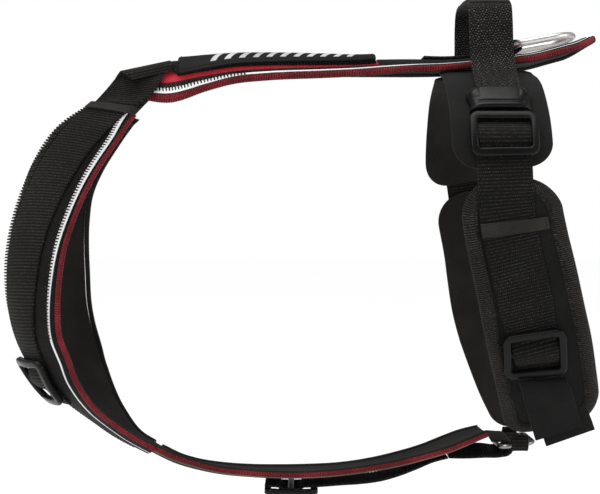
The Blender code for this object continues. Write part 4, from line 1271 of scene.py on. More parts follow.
@dataclass
class BackPad:
    """The red-faced pad along the spine with its side trims and binding."""

    surface: Strap
    half_width: float = 26.0
    front_x: float = -115.0
    rear_x: float = 229.0
    tail_radius: float = 21.0
    tooth_pitch: float = 2.5
    teeth_fade: Pair = (45.0, 85.0)
    nose_taper: float = 1.2
    nose_length: float = 20.0
    dip: float = 2.4
    dip_from: float = 262.0
    dip_length: float = 35.0
    field_top: float = 2.2
    trim_stretch: tuple[float, ...] = (20.0, 60.0, 130.0, 200.0, 300.0)
    trim_shift: tuple[float, ...] = (1.6, 2.1, 1.7, 0.8, 0.0)
    rear_patch_x: Pair = (60.0, 138.0)
    tail_patch_x: Pair = (166.0, 221.0)

    def outline(self, inset: float, count: int) -> tuple[Array, Array]:
        """Stations and half widths of the pad's outline.

        Args:
            inset: How far in from the middle of the binding.
            count: How many stations.

        Returns:
            The stations and the half width at each.
        """
        start = self.surface.find(0, self.front_x)
        end = self.surface.find(0, self.rear_x) - (BINDING_WIDTH / 2 + inset) / self.surface.length
        stations = spread(start, end, count, 0.75)
        along = (stations - stations[0]) * self.surface.length
        taper = self.nose_taper * np.clip(1 - along / self.nose_length, 0.0, 1.0) ** 2
        half = rounded_reach(along, along[-1], self.half_width - inset, 0.0, self.tail_radius - inset)
        return stations, half - taper

    def edge_path(self, inset: float, step: float) -> Array:
        """A path round the pad: head to tail on the near side, and back on the far side."""
        stations, half = self.outline(inset, 400)
        along = stations * self.surface.length
        corner = np.linspace(1.0, -1.0, 9)[1:-1] * half[-1]
        near, far = (np.stack([along, side], axis=1) for side in (half, -half))
        tail = np.stack([np.full_like(corner, along[-1]), corner], axis=1)
        return evenly(np.concatenate([near, tail, far[::-1]]), step)

    def trim_path(self, inset: float, step: float) -> Array:
        """The edge path, moved outwards over the binding's inner half on the head part."""
        path = self.edge_path(inset, step)
        path[:, 1] += np.sign(path[:, 1]) * np.interp(path[:, 0], self.trim_stretch, self.trim_shift)
        return path

    def tail_dip(self, stations: Array, across: Array) -> Array:
        """How far the pad's face falls behind the ring: a straight slope, less towards its edges."""
        slope = np.clip((stations * self.surface.length - self.dip_from) / self.dip_length, 0.0, 1.0)
        return self.dip * slope[:, None] * (1 - np.abs(across) ** 3)

    def build(self) -> None:
        """Pad and binding, then the trims, then what is sewn on."""
        self.build_pad()
        self.build_trims()
        self.build_patches()

    def build_pad(self) -> None:
        """The padded cloth and its binding."""
        stations, half = self.outline(BINDING_WIDTH / 2 + GAP, 220)
        across = crowded(33)
        height = pad_section(across, PAD / 2, edge=0.55, power=8.0)
        high = height - self.tail_dip(stations, across)
        pad = wall(self.surface, stations, half[:, None] * across, -height, high)
        use = Use(Slot.RED_FABRIC, (RED_CLOTH, LINING_CLOTH), ("back_pad",), fill=0.7)
        place_piece("back_pad_cloth", pad, use)
        path = self.edge_path(0.0, BINDING_STEP)
        profile = oval(1.9, 2.7, 14, 2.3) + (0.0, -0.1)
        tape = moulding(self.surface, path, profile, scale=binding_ripple(path), parting=-1.3)
        use = Use(Slot.RED_BINDING, (RED_RIBS, LINING_CLOTH), ("back_binding",))
        place_piece("back_binding_tape", tape, use)

    def build_trims(self) -> None:
        """White line, the dark field and thin line beside it, and its teeth on the head part."""
        back = self.surface
        path = self.trim_path(3.5, 1.2)
        narrow = np.interp(path[:, 0], self.teeth_fade, [1.0, 0.42])
        line = moulding(back, path, band(1.3, -1.3, 1.4, 3.0, 0.2), scale=narrow)
        place_piece("back_reflective_line", line, Use(Slot.GREY_TRIM, (REFLECTIVE,)))
        edge = moulding(back, self.trim_path(2.0, 1.0), oval(0.3, 0.5, 8) + (0.0, self.field_top))
        path = self.trim_path(4.4, 1.2)
        thin = np.interp(path[:, 0], self.teeth_fade, [1.0, 0.6])
        dark = moulding(back, path, band(0.3, -1.6, 1.6, 3.3, 0.1), scale=thin)
        head = path[:, 0] < self.teeth_fade[1]
        combs = [
            teeth(back, side, self.tooth_pitch, (-0.4, 1.5), (3.35, 3.3), (1.5, 0.8))
            for side in (path[head & (path[:, 1] > 0)], path[head & (path[:, 1] < 0)])
        ]
        place_piece("back_dark_trim", joined(edge, dark, *combs), Use(Slot.BLACK_FABRIC, (BORDER_CLOTH,)))

    def build_patches(self) -> None:
        """The tail's light panel, rounded at both ends, and the hook patch in front of it."""
        back = self.surface
        across = crowded(33)
        first, last = (back.find(0, x) for x in self.tail_patch_x)
        run = spread(first, last, 60)
        along = (run - first) * back.length
        reach = rounded_reach(along, along[-1], 20.4, 2.0, 17.0)
        face = self.field_top + 0.35 - self.tail_dip(run, across)
        patch = wall(back, run, reach[:, None] * across, face - 0.5, face + 0.55)
        cut = Cut(40.8, float(along[-1]), Hold.LAID, ("back_pad",))
        place_piece("tail_reflective_patch", patch, Use(Slot.GREY_TRIM, (REFLECTIVE,), cut=cut))
        first, last = (back.find(0, x) for x in self.rear_patch_x)
        high = 3.55 - 0.6 * np.abs(across) ** 8
        patch = wall(back, np.linspace(first, last, 60), 21.3 * across, self.field_top, high)
        cut = Cut(42.6, (last - first) * back.length, Hold.LAID, ("back_pad",))
        place_piece("back_loop_patch", patch, Use(Slot.HOOK_PATCH, (HOOK_CLOTH,), cut=cut))


@dataclass
class BackLabel:
    """The plain label on the back pad and the hook patch that holds it."""

    surface: Strap
    span_x: Pair = (-87.0, 58.0)
    half_width: float = 20.0
    patch_floor: float = 3.5
    floor: float = 5.65
    thickness: float = 2.4
    bar_count: int = 11
    nose: tuple[float, ...] = (15.0, 11.0, 8.0, 5.5, 3.2, 1.6)
    nose_half: tuple[float, ...] = (9.0, 13.0, 16.0, 18.0, 19.5, 21.0)

    def build(self) -> None:
        """Patch, label, its edge seam and its slanted bars."""
        back = self.surface
        low, high = (back.find(0, x) for x in self.span_x)
        nose = low - np.array(self.nose) / back.length
        stations = np.concatenate([nose[:-1], spread(nose[-1], high, 90)])
        half = np.interp(stations, nose, self.nose_half) - 1.7
        across = crowded(31)
        patch = wall(back, stations, half[:, None] * across, self.patch_floor - 0.6, self.floor - 0.5)
        cut = Cut(38.6, (high - nose[0]) * back.length, Hold.LAID, ("back_pad",))
        place_piece("label_patch", patch, Use(Slot.HOOK_PATCH, (HOOK_CLOTH,), ("label_base",), cut=cut))

        top = self.floor + self.thickness
        stations = spread(low, high, 160, 0.4)
        along = (stations - low) * back.length
        ends = np.clip(np.minimum(along, along[-1] - along) / 1.5, 0.0, 1.0) ** 0.5
        crown = pad_section(across, self.thickness / 2, edge=0.55, power=10.0) * (0.5 + 0.5 * ends[:, None])
        middle = self.floor + self.thickness / 2
        label = wall(back, stations, self.half_width * across, middle - crown, middle + crown)
        cut = Cut(2 * self.half_width, float(along[-1]), Hold.LAID, ("label_base",))
        use = Use(Slot.BLACK_FABRIC, (LABEL_FACE,), ("label",), cut=cut, crease=60.0)
        place_piece("label_plate", label, use)

        start, end = low * back.length + 2.0, high * back.length - 2.0
        side = self.half_width - 1.8
        loop = np.array([(start, -side), (end, -side), (end, side), (start, side), (start, -side)])
        seam = stitches(back, loop, top + 0.05, *LABEL_SEAM)
        place_piece("label_seam", seam, Use(Slot.BLACK_FABRIC, (THREAD,)))

        bars = []
        for sign in (-1.0, 1.0):
            sides = sign * np.linspace(16.6, 7.4, 7)
            lean = (sides * sign - 12.0) * -0.55
            for place in np.linspace(start + 26.0, end - 16.0, self.bar_count):
                run = (place + np.linspace(-2.1, 2.1, 3)[:, None] + lean) / back.length
                bars.append(wall(back, run, sides, top - 0.4, top + 0.22))
        place_piece("label_bars", joined(*bars), Use(Slot.GREY_TRIM, (BAR_FILM,)))


@dataclass
class LeashRing:
    """The steel D ring that lies back on the tail of the pad, and its webbing tab."""

    surface: Strap
    bar_x: float = 167.0
    half_width: float = 20.0
    length: float = 46.0
    bar_rise: float = 5.9
    tail_rise: float = 3.7
    wire: float = 2.7
    corner: float = 4.0
    tab_half: float = 12.5
    tab_clear: float = 3.4
    tab_run: tuple[float, float, float] = (95.0, 160.0, 7.0)

    def frame(self) -> tuple[Array, Array, Array, Array]:
        """The bar's middle, and the directions along the ring, beside it and up from it."""
        back = self.surface
        bar = back.place(back.find(0, self.bar_x), 0.0, PAD / 2 + self.bar_rise)
        tail = back.place(back.find(0, self.bar_x + self.length), 0.0, PAD / 2 + self.tail_rise)
        lie = unit(tail - bar)
        beside = np.array([0.0, 1.0, 0.0])
        return bar, lie, beside, -np.cross(beside, lie)

    def build(self) -> None:
        """Ring, tab and the seam across the tab."""
        bar, lie, beside, up = self.frame()
        straight = self.length - self.half_width
        turn = np.linspace(-np.pi / 2, np.pi / 2, 60)
        bow = np.stack([straight + self.half_width * np.cos(turn), self.half_width * np.sin(turn)], axis=1)
        quarter = np.linspace(0.0, np.pi / 2, 10)
        inner = self.half_width - self.corner
        corner = [self.corner - self.corner * np.cos(quarter), -inner - self.corner * np.sin(quarter)]
        near_corner = np.stack(corner, axis=1)
        far_corner = near_corner[::-1] * (1.0, -1.0)
        ring = evenly(looped(np.concatenate([near_corner, bow, far_corner])), 0.9)[:-1]
        line = bar + ring[:, :1] * lie + ring[:, 1:] * beside
        use = Use(Slot.STEEL, (STEEL,), ("leash_ring",), Body.LEASH_RING)
        place_piece("leash_ring_wire", wire_loop(line, up, self.wire, 20), use)

        clear = self.tab_clear + WEBBING / 2
        height = PAD / 2 + 1.4 + WEBBING / 2
        back = self.surface
        rows = [back.place(back.find(0, x), 0.0, height) for x in np.arange(*self.tab_run)]
        for angle in np.linspace(0.35, np.pi, 7):
            rows.append(bar + clear * (lie * math.sin(angle) - up * math.cos(angle)))
        rows += [rows[-1] - lie * d - up * (0.05 * d) for d in (6.0, 12.0)]
        tab = surface_from_line(rows, self.tab_half, (0.0, -1.0, -0.04))
        cloth = strip(tab, 0.0, 1.0, self.tab_half)
        cut = Cut(2 * self.tab_half, tab.length, Hold.FOLDED, ("back_pad",))
        use = Use(Slot.BLACK_WEBBING, (WEBBING_CLOTH,), ("ring_tab",), cut=cut)
        place_piece("ring_tab_webbing", cloth, use)
        paths = [np.array([(at, -10.5), (at, 10.5)]) for at in (tab.length - 2.5, tab.length - 9.0)]
        seams = [stitches(tab, path, WEBBING / 2 + 0.1, *WEBBING_SEAM) for path in paths]
        place_piece("ring_tab_seam", joined(*seams), Use(Slot.BLACK_WEBBING, (THREAD,)))


def strip(
    surface: Strap, start: float, end: float, half: Array | float, pitch: float = RIB_PITCH,
    floor: float = -WEBBING / 2, depth: float = 0.22, thickness: float = WEBBING,
    rise: Callable[[Array, Array], Array] | None = None, middle: Callable[[Array], Array] | None = None,
    channels: float = 0.0,
) -> Shape:
    """A strip of webbing with ribs across it and a thin bead along both edges.

    The face's height is the thickness, less the rib's depth, plus a sharpened cosine of the distance
    along, which fades out towards the edges, less a cosine of the distance across for channels.

    Args:
        surface: The surface that it lies on.
        start: First station.
        end: Last station.
        half: Half width, a number or one for each of some evenly spread stations.
        pitch: Distance from rib to rib.
        floor: Height of its underside.
        depth: Depth of the ribs.
        thickness: Thickness over a rib.
        rise: Extra height for distances along and sides.
        middle: Side of the strip's middle line for each station.
        channels: Distance between lengthwise channels, 0 for none.

    Returns:
        The shape.
    """
    count = max(12, int((end - start) * surface.length / pitch * 4))
    stations = np.linspace(start, end, count)
    along = stations * surface.length
    reach = np.interp(stations, np.linspace(start, end, np.size(half)), np.ravel(half))[:, None]
    across = crowded(33 if channels else 21)
    centre = np.zeros(count) if middle is None else middle(stations)
    sides = centre[:, None] + reach * across
    margin = 1 - np.abs(across)
    relief = cosine_ribs(along, pitch, depth)[:, None] * np.clip(margin * 12, 0.0, 1.0) ** 0.6 - depth
    bead = np.exp(-(((margin * reach - BEAD_INSET) / BEAD_SPREAD) ** 2))
    relief = relief - EDGE_DROP * (1 - np.clip(margin * 25, 0.0, 1.0)) + BEAD_HEIGHT * bead
    if channels:
        relief = relief - 0.3 * (0.5 - 0.5 * np.cos(2 * np.pi * reach * across / channels)) ** 3
    low = floor + (0.0 if rise is None else rise(along[:, None], sides))
    return wall(surface, stations, sides, low + 0.1, low + thickness + relief)


@dataclass
class Handle:
    """The webbing handle that arches over the back, buckle to buckle."""

    half_width: float = 16.0
    thickness: float = 3.0
    band_half: float = 15.2

    def build(self) -> None:
        """The handle's doubled webbing with its lengthwise channels, and the band over its top."""
        surface = surface_from_line(HANDLE_ROWS, self.half_width, (-1.0, 0.0, 0.0))
        face = {"pitch": 1.9, "floor": -self.thickness / 2, "depth": 0.2, "thickness": self.thickness + 0.2}
        cloth = strip(surface, 0.0, 1.0, self.half_width, **face, channels=6.2)
        ends = ("buckle_socket_near", "buckle_socket_far")
        cut = Cut(2 * self.half_width, surface.length, Hold.STRETCHED, ends)
        place_piece("handle_webbing", cloth, Use(Slot.BLACK_WEBBING, (HANDLE_CLOTH,), ("handle",), cut=cut))
        top = surface.middle[:, 2] > 40.0
        first, last = surface.stations[top][[0, -1]]
        across = crowded(21)
        low = self.thickness / 2 + 0.15
        high = low + 0.9 - 0.4 * np.abs(across) ** 8
        cover = wall(surface, np.linspace(first, last, 90), self.band_half * across, low, high)
        cut = Cut(2 * self.band_half, float(last - first) * surface.length, Hold.LAID, ("handle",))
        place_piece("handle_top_band", cover, Use(Slot.BLACK_WEBBING, (ELASTIC_CLOTH,), cut=cut))


@dataclass
class Slide:
    """A moulded slide: a rounded frame round the webbing, and a middle bar under it."""

    surface: Strap
    station: float
    side: float
    half_along: float
    half_across: float
    height: float
    turn: float = 0.0

    def shape(self, surface: Strap) -> Shape:
        """The slide on either surface.

        Args:
            surface: The near surface or its twin.

        Returns:
            Frame and bar as one shape.
        """
        ring = rounded_rectangle(self.half_along - 0.5, self.half_across - 0.3, SLIDE_CORNER)
        path = self.turned(surface, ring)
        flange = moulding(surface, path, oval(*SLIDE_FLANGE) + (0.2, self.height), True)
        reach = self.half_across - 0.6
        bar = self.turned(surface, np.stack([np.zeros(25), np.linspace(-reach, reach, 25)], axis=1))
        middle = moulding(surface, bar, oval(*SLIDE_BAR) + (0.0, self.height - 2.7))
        return joined(flange, middle)

    def turned(self, surface: Strap, offsets: Array) -> Array:
        """Offsets from the slide's middle as a path on the surface, turned by its angle."""
        cos, sin = math.cos(self.turn), math.sin(self.turn)
        along = self.station * surface.length + offsets[:, 0] * cos - offsets[:, 1] * sin
        return np.stack([along, self.side + offsets[:, 0] * sin + offsets[:, 1] * cos], axis=1)


@dataclass
class Shoulders:
    """The padded neck straps with trims, webbing, keepers and chest slides."""

    surface: Strap = field(init=False)
    webbing_half: float = 15.5
    floor: float = PAD / 2 + 0.9
    tooth_pitch: float = 2.3
    line_insets: tuple[float, ...] = (5.6, 5.8, 6.2, 7.2, 8.4, 9.4)
    line_share: tuple[float, ...] = (0.0, 0.35, 0.55, 0.75, 1.0)
    line_width: tuple[float, ...] = (1.0, 0.78, 0.42, 0.26, 0.22)
    binding_start: float = 8.0

    def __post_init__(self) -> None:
        """Lays out both straps."""
        self.surface = surface_from_edges(NEAR_SHOULDER_ROWS)
        self.surface.twin = surface_from_edges(FAR_SHOULDER_ROWS)

    def side(self, stations: Array, distance: float) -> Array:
        """The widest side that keeps this distance from both edges of both straps."""
        straps = (self.surface, self.surface.twin)
        return np.min([abs(s.inset(stations, e, distance)) for s in straps for e in (-1, 1)], axis=0)

    def edge_path(
        self, sign: int, distance: float | Sequence[float], step: float, end: float = 1.0
    ) -> Array:
        """A path that keeps a distance from one edge.

        Args:
            sign: -1 for the rear edge, which is bound in red, and 1 for the front edge.
            distance: How far in from the edge, or several from the head to the foot.
            step: Distance between points.
            end: Last station.

        Returns:
            Rows of distance along the strap and side.
        """
        stations = np.linspace(0.0, end, 300)
        if not isinstance(distance, float):
            distance = np.interp(stations, np.linspace(0.0, 1.0, len(distance)), distance)
        path = np.stack([stations * self.surface.length, sign * self.side(stations, distance)], axis=1)
        return evenly(path, step)

    @staticmethod
    def webbing_middle(station: Array | float) -> Array:
        """Side of the webbing's middle line."""
        return np.interp(station, *np.array(SHOULDER_WEBBING_SIDES).T)

    def build(self) -> None:
        """Pads, bindings, trims, webbing, slides and keepers of both sides."""
        self.build_pads()
        self.build_edges()
        self.build_webbing()

    def build_pads(self) -> None:
        """The pads, black outside and lined inside."""
        strap = self.surface
        stations = spread(0.0, 1.0, 200)
        reach = self.side(stations, BINDING_WIDTH + GAP - 0.6)
        across = crowded(33)
        height = pad_section(across, PAD / 2, edge=0.5, power=6.0)
        use = Use(Slot.BLACK_FABRIC, (PAD_CLOTH, LINING_CLOTH), ("shoulder_pad",), fill=0.6)
        place_pair(
            "shoulder_pad_cloth", lambda s: wall(s, stations, reach[:, None] * across, -height, height),
            strap, use,
        )
        seam_path = np.stack([stations * strap.length, reach * 0.2], axis=1)
        place_pair(
            "shoulder_lining_seam", lambda s: stitches(s, seam_path, -PAD / 2 - 0.05, *PAD_SEAM), strap,
            Use(Slot.BLACK_FABRIC, (THREAD,)),
        )

    def build_edges(self) -> None:
        """Red binding, white band and dark teeth behind, and the toothed trim in front."""
        strap = self.surface
        path = self.edge_path(-1, BINDING_WIDTH / 2, BINDING_STEP)
        path = path[path[:, 0] > self.binding_start]
        ripple = binding_ripple(path)

        def tape(surface: Strap) -> Shape:
            """The binding, whose far side ends before the foot and shows more of its lining."""
            near = surface is strap
            kept = slice(None) if near else slice(-16)
            profile = oval(1.8, 2.5, 12) + (-0.2, -0.2)
            return moulding(surface, path[kept], profile, scale=ripple[kept], parting=-0.9 if near else 0.4)

        use = Use(Slot.RED_BINDING, (RED_RIBS, LINING_CLOTH), ("shoulder_binding",))
        place_pair("shoulder_binding_tape", tape, strap, use)
        rear = self.edge_path(-1, self.line_insets, 1.2)
        width = np.interp(np.linspace(0.0, 1.0, len(rear)), self.line_share, self.line_width)
        place_pair(
            "shoulder_rear_band", lambda s: moulding(s, rear, band(2.3, -1.5, 1.5, 3.3, 0.3), scale=width),
            strap, Use(Slot.GREY_TRIM, (REFLECTIVE,)),
        )
        front = self.edge_path(1, BINDING_WIDTH / 2, 0.8, 0.97)
        place_pair(
            "shoulder_front_trim", lambda s: moulding(s, front, oval(1.5, 2.0, 14, 2.6) + (-0.8, 0.3)),
            strap, Use(Slot.GREY_TRIM, (BORDER_CLOTH,), ("shoulder_trim",)),
        )

        def combs(surface: Strap) -> Shape:
            """Teeth over both bands."""
            upper = rear[: int(0.6 * len(rear))]
            behind = teeth(surface, upper, self.tooth_pitch, (3.2, 0.0), (3.2, 3.6), (1.6, 0.7))
            ahead = teeth(surface, front, self.tooth_pitch, (-1.6, 5.0), (2.6, 2.4), (1.5, 1.0), 3.0)
            return joined(behind, ahead)

        place_pair("shoulder_teeth", combs, strap, Use(Slot.BLACK_FABRIC, (BORDER_CLOTH,)))

    def build_webbing(self) -> None:
        """Adjusting webbing, chest slide and keeper."""
        surface = self.surface
        slide_at = surface.find(2, -234.0)
        end = slide_at + 23.0 / surface.length

        def rise(along: Array, _: Array) -> Array:
            """The climb over the slide's bar."""
            return hump(along - slide_at * surface.length)

        lie = {"floor": self.floor, "rise": rise, "middle": self.webbing_middle}
        pads = ("shoulder_pad_near", "shoulder_pad_far")
        cut = Cut(2 * self.webbing_half, end * surface.length, Hold.LAID, pads)
        place_pair(
            "shoulder_webbing_cloth", lambda s: strip(s, 0.0, end, self.webbing_half, **lie), surface,
            Use(Slot.BLACK_WEBBING, (WEBBING_CLOTH,), ("shoulder_webbing",), cut=cut),
        )
        centre = float(self.webbing_middle(slide_at))
        slide = Slide(surface, slide_at, centre, 16.5, 17.8, self.floor + WEBBING + 3.6)
        place_pair(
            "chest_slide_frame", slide.shape, surface, Use(Slot.BLACK_PLASTIC, (PLASTIC,), ("chest_slide",))
        )
        reach = np.concatenate([[-20.6], np.linspace(-18.0, 16.4, 30), [17.2]])
        inner = np.interp(reach[1:-1], [-18, -15.5], [0.0, 0.9])
        lift = self.floor + WEBBING + np.concatenate([[-1.2], inner, [0.5]])
        run = np.linspace(0.008, 0.008 + 6.5 / surface.length, 9)
        place_pair(
            "shoulder_keeper_band", lambda s: wall(s, run, reach, lift, lift + 1.2), surface,
            Use(Slot.GREY_TRIM, (ELASTIC_CLOTH,), ("shoulder_keeper",)),
        )


@dataclass
class Withers:
    """The webbing that folds over at the withers and runs into each shoulder pad."""

    shoulders: Shoulders
    back: Strap
    root_x: Pair = (-97.0, -113.0)
    root_side: float = 12.0
    overlap: float = 2.6

    def build(self) -> None:
        """Both loops, their roots on the back pad and the seams on their flaps."""
        height = PAD / 2 + 1.2 + WEBBING / 2
        shoulder = self.shoulders.surface
        middle = float(Shoulders.webbing_middle(0.0))
        limits = middle + np.array([-1.0, 1.0]) * self.shoulders.webbing_half
        surfaces, roots = [], []
        straight = (0.0,) * len(WITHERS_ROWS)
        seat_at = np.array([self.back.find(0, x) for x in self.root_x])
        for pad, lift, shift, sign in (
            (shoulder, 0.0, straight, 1.0), (shoulder.twin, FAR_WITHERS_RISE, FAR_WITHERS_SHIFT, -1.0),
        ):
            corners = pad.place(np.zeros(2), limits, np.full(2, height))
            corners += unit(pad.middle[1] - pad.middle[0]) * self.overlap
            rows = np.array(WITHERS_ROWS, float)
            rows[:, [2, 5]] -= lift * rows[:, [1, 4]] * np.array(WITHERS_FADE)[:, None]
            rows[:, [0, 3]] += np.array(shift)[:, None]
            surfaces.append(surface_from_edges(np.vstack([rows, corners.reshape(1, 6)])))
            seat = self.back.place(seat_at, np.full(2, sign * self.root_side), np.full(2, height - 1.0))
            seat[:, 1] *= sign
            seat = seat.reshape(1, 6)
            foot = rows[:1] + 0.12 * (rows[1:2] - rows[:1])
            crest = (seat + foot) / 2 + (0.0, 0.0, 1.0, 0.0, 0.0, 1.0)
            roots.append(surface_from_edges(np.vstack([seat, crest, foot])))
        loop, loop.twin = surfaces
        root, root.twin = roots
        reach = root.read(np.minimum(root.half, root.twin.half), np.linspace(0.0, 1.0, 12))
        cut = Cut(2 * float(reach.mean()), (root.length + root.twin.length) / 2, Hold.FOLDED, ("back_pad",))
        place_pair(
            "withers_root_webbing", lambda s: strip(s, 0.0, 1.0, reach), root,
            Use(Slot.BLACK_WEBBING, (WEBBING_CLOTH,), cut=cut),
        )
        stations = np.linspace(0.0, 1.0, 60)
        half = loop.read(np.minimum(loop.half, loop.twin.half), stations)
        cut = Cut(31.0, loop.length, Hold.FOLDED, ("back_pad",))
        place_pair(
            "withers_loop_webbing", lambda s: strip(s, 0.0, 1.0, half), loop,
            Use(Slot.BLACK_WEBBING, (WEBBING_CLOTH,), ("withers_loop",), cut=cut),
        )
        path = np.array([(2.2, -13.0), (2.2, 13.0)])
        place_pair(
            "withers_flap_seam", lambda s: stitches(s, path, WEBBING / 2 + 0.1, *WEBBING_SEAM), loop,
            Use(Slot.BLACK_WEBBING, (THREAD,)),
        )


@dataclass
class Belly:
    """The pad between the front legs, its webbing and slide, and the loop at the ring."""

    surface: Strap
    half_width: float = 26.0
    webbing_half: float = 17.0
    ring_halves: Pair = (13.0, 20.2)
    ring_wire: float = 1.8
    ring_centre: tuple[float, float, float] = (165.0, 0.0, -291.5)
    ring_pitch: float = math.radians(8.0)

    def build(self) -> None:
        """All the pieces below the chest."""
        self.build_pad()
        self.build_webbing()
        self.build_ring()

    def build_pad(self) -> None:
        """Pad with a black outside and its lining up, bindings and edge lines."""
        belly = self.surface
        start = belly.find(0, -107.5)
        across = crowded(31)
        nose = (3.5 + 7.0 * (1 - np.abs(across))) / belly.length
        stations = start - nose + (1.0 - start + nose) * spread(0.0, 1.0, 200)[:, None]
        height = pad_section(across, PAD / 2, edge=0.6, power=8.0)
        half = self.half_width - BINDING_WIDTH - GAP
        pad = wall(belly, stations, across * half, -height, height)
        use = Use(Slot.BLACK_FABRIC, (PAD_CLOTH, LINING_CLOTH), ("belly_pad",), fill=0.5)
        place_piece("belly_pad_cloth", pad, use)
        seams, lines = [], []
        for name, sign in (("near", -1.0), ("far", 1.0)):
            def path(inset: float, step: float) -> Array:
                """A straight path along one edge, from the head to the tail."""
                side = sign * (self.half_width - inset)
                return evenly(np.array([(start * belly.length - 3.5, side), (belly.length, side)]), step)

            line = path(BINDING_WIDTH / 2, BINDING_STEP)
            profile = oval(1.9, 2.5, 12) + (0.0, -0.2)
            tape = moulding(belly, line, profile, scale=binding_ripple(line), parting=-1.4)
            use = Use(Slot.RED_BINDING, (RED_RIBS, LINING_CLOTH), (f"belly_binding_{name}",))
            place_piece(f"belly_binding_tape_{name}", tape, use)
            for height in (-PAD / 2 - 0.05, PAD / 2 + 0.05):
                seams.append(stitches(belly, path(7.0, 1.0), height, *BELLY_SEAM))
            lines.append(moulding(belly, path(4.5, 1.0), oval(0.5, 0.5, 8) + (0.0, 2.2)))
        place_piece("belly_seams", joined(*seams), Use(Slot.BLACK_FABRIC, (THREAD,)))
        place_piece("belly_edge_lines", joined(*lines), Use(Slot.GREY_TRIM, (EDGE_LINE,)))

    def build_webbing(self) -> None:
        """Webbing and slide below the pad, and the loop round the ring's front bar."""
        rows = [(x, 0.0, z) for x, z in BELLY_WEBBING_ROWS]
        webbing = surface_from_line(rows, self.webbing_half, (0.0, 1.0, 0.0))
        slide_at = webbing.find(0, -7.0)

        def rise(along: Array, _: Array) -> Array:
            """The climb over the slide's bar."""
            return hump(along - slide_at * webbing.length)

        cloth = strip(webbing, 0.0, 1.0, self.webbing_half, rise=rise)
        cut = Cut(2 * self.webbing_half, webbing.length, Hold.STRETCHED, ("belly_pad",))
        use = Use(Slot.BLACK_WEBBING, (WEBBING_CLOTH,), ("belly_webbing",), cut=cut)
        place_piece("belly_webbing_cloth", cloth, use)
        slide = Slide(webbing, slide_at, 0.0, 18.5, 18.9, WEBBING / 2 + 3.0)
        use = Use(Slot.BLACK_PLASTIC, (PLASTIC,), ("belly_slide",))
        place_piece("belly_slide_frame", slide.shape(webbing), use)

        half = self.webbing_half - 2.5
        loop = surface_from_edges([(x, -half, near, x, half, far) for x, near, far in BELLY_LOOP_ROWS])
        cut = Cut(2 * half, loop.length, Hold.FOLDED, ("belly_ring",))
        place_piece(
            "belly_loop_webbing", strip(loop, 0.0, 1.0, half),
            Use(Slot.BLACK_WEBBING, (WEBBING_CLOTH,), ("belly_loop",), cut=cut),
        )

    def build_ring(self) -> None:
        """The rectangular steel ring."""
        offsets = rounded_rectangle(*self.ring_halves, 6.0)
        slope = np.array([math.cos(self.ring_pitch), 0.0, math.sin(self.ring_pitch)])
        beside = np.array([0.0, 1.0, 0.0])
        line = np.array(self.ring_centre) + offsets[:, :1] * slope + offsets[:, 1:] * beside
        shape = wire_loop(line, np.cross(slope, beside), self.ring_wire, 16)
        place_piece("belly_ring_wire", shape, Use(Slot.STEEL, (RING_SHADE,), ("belly_ring",)))


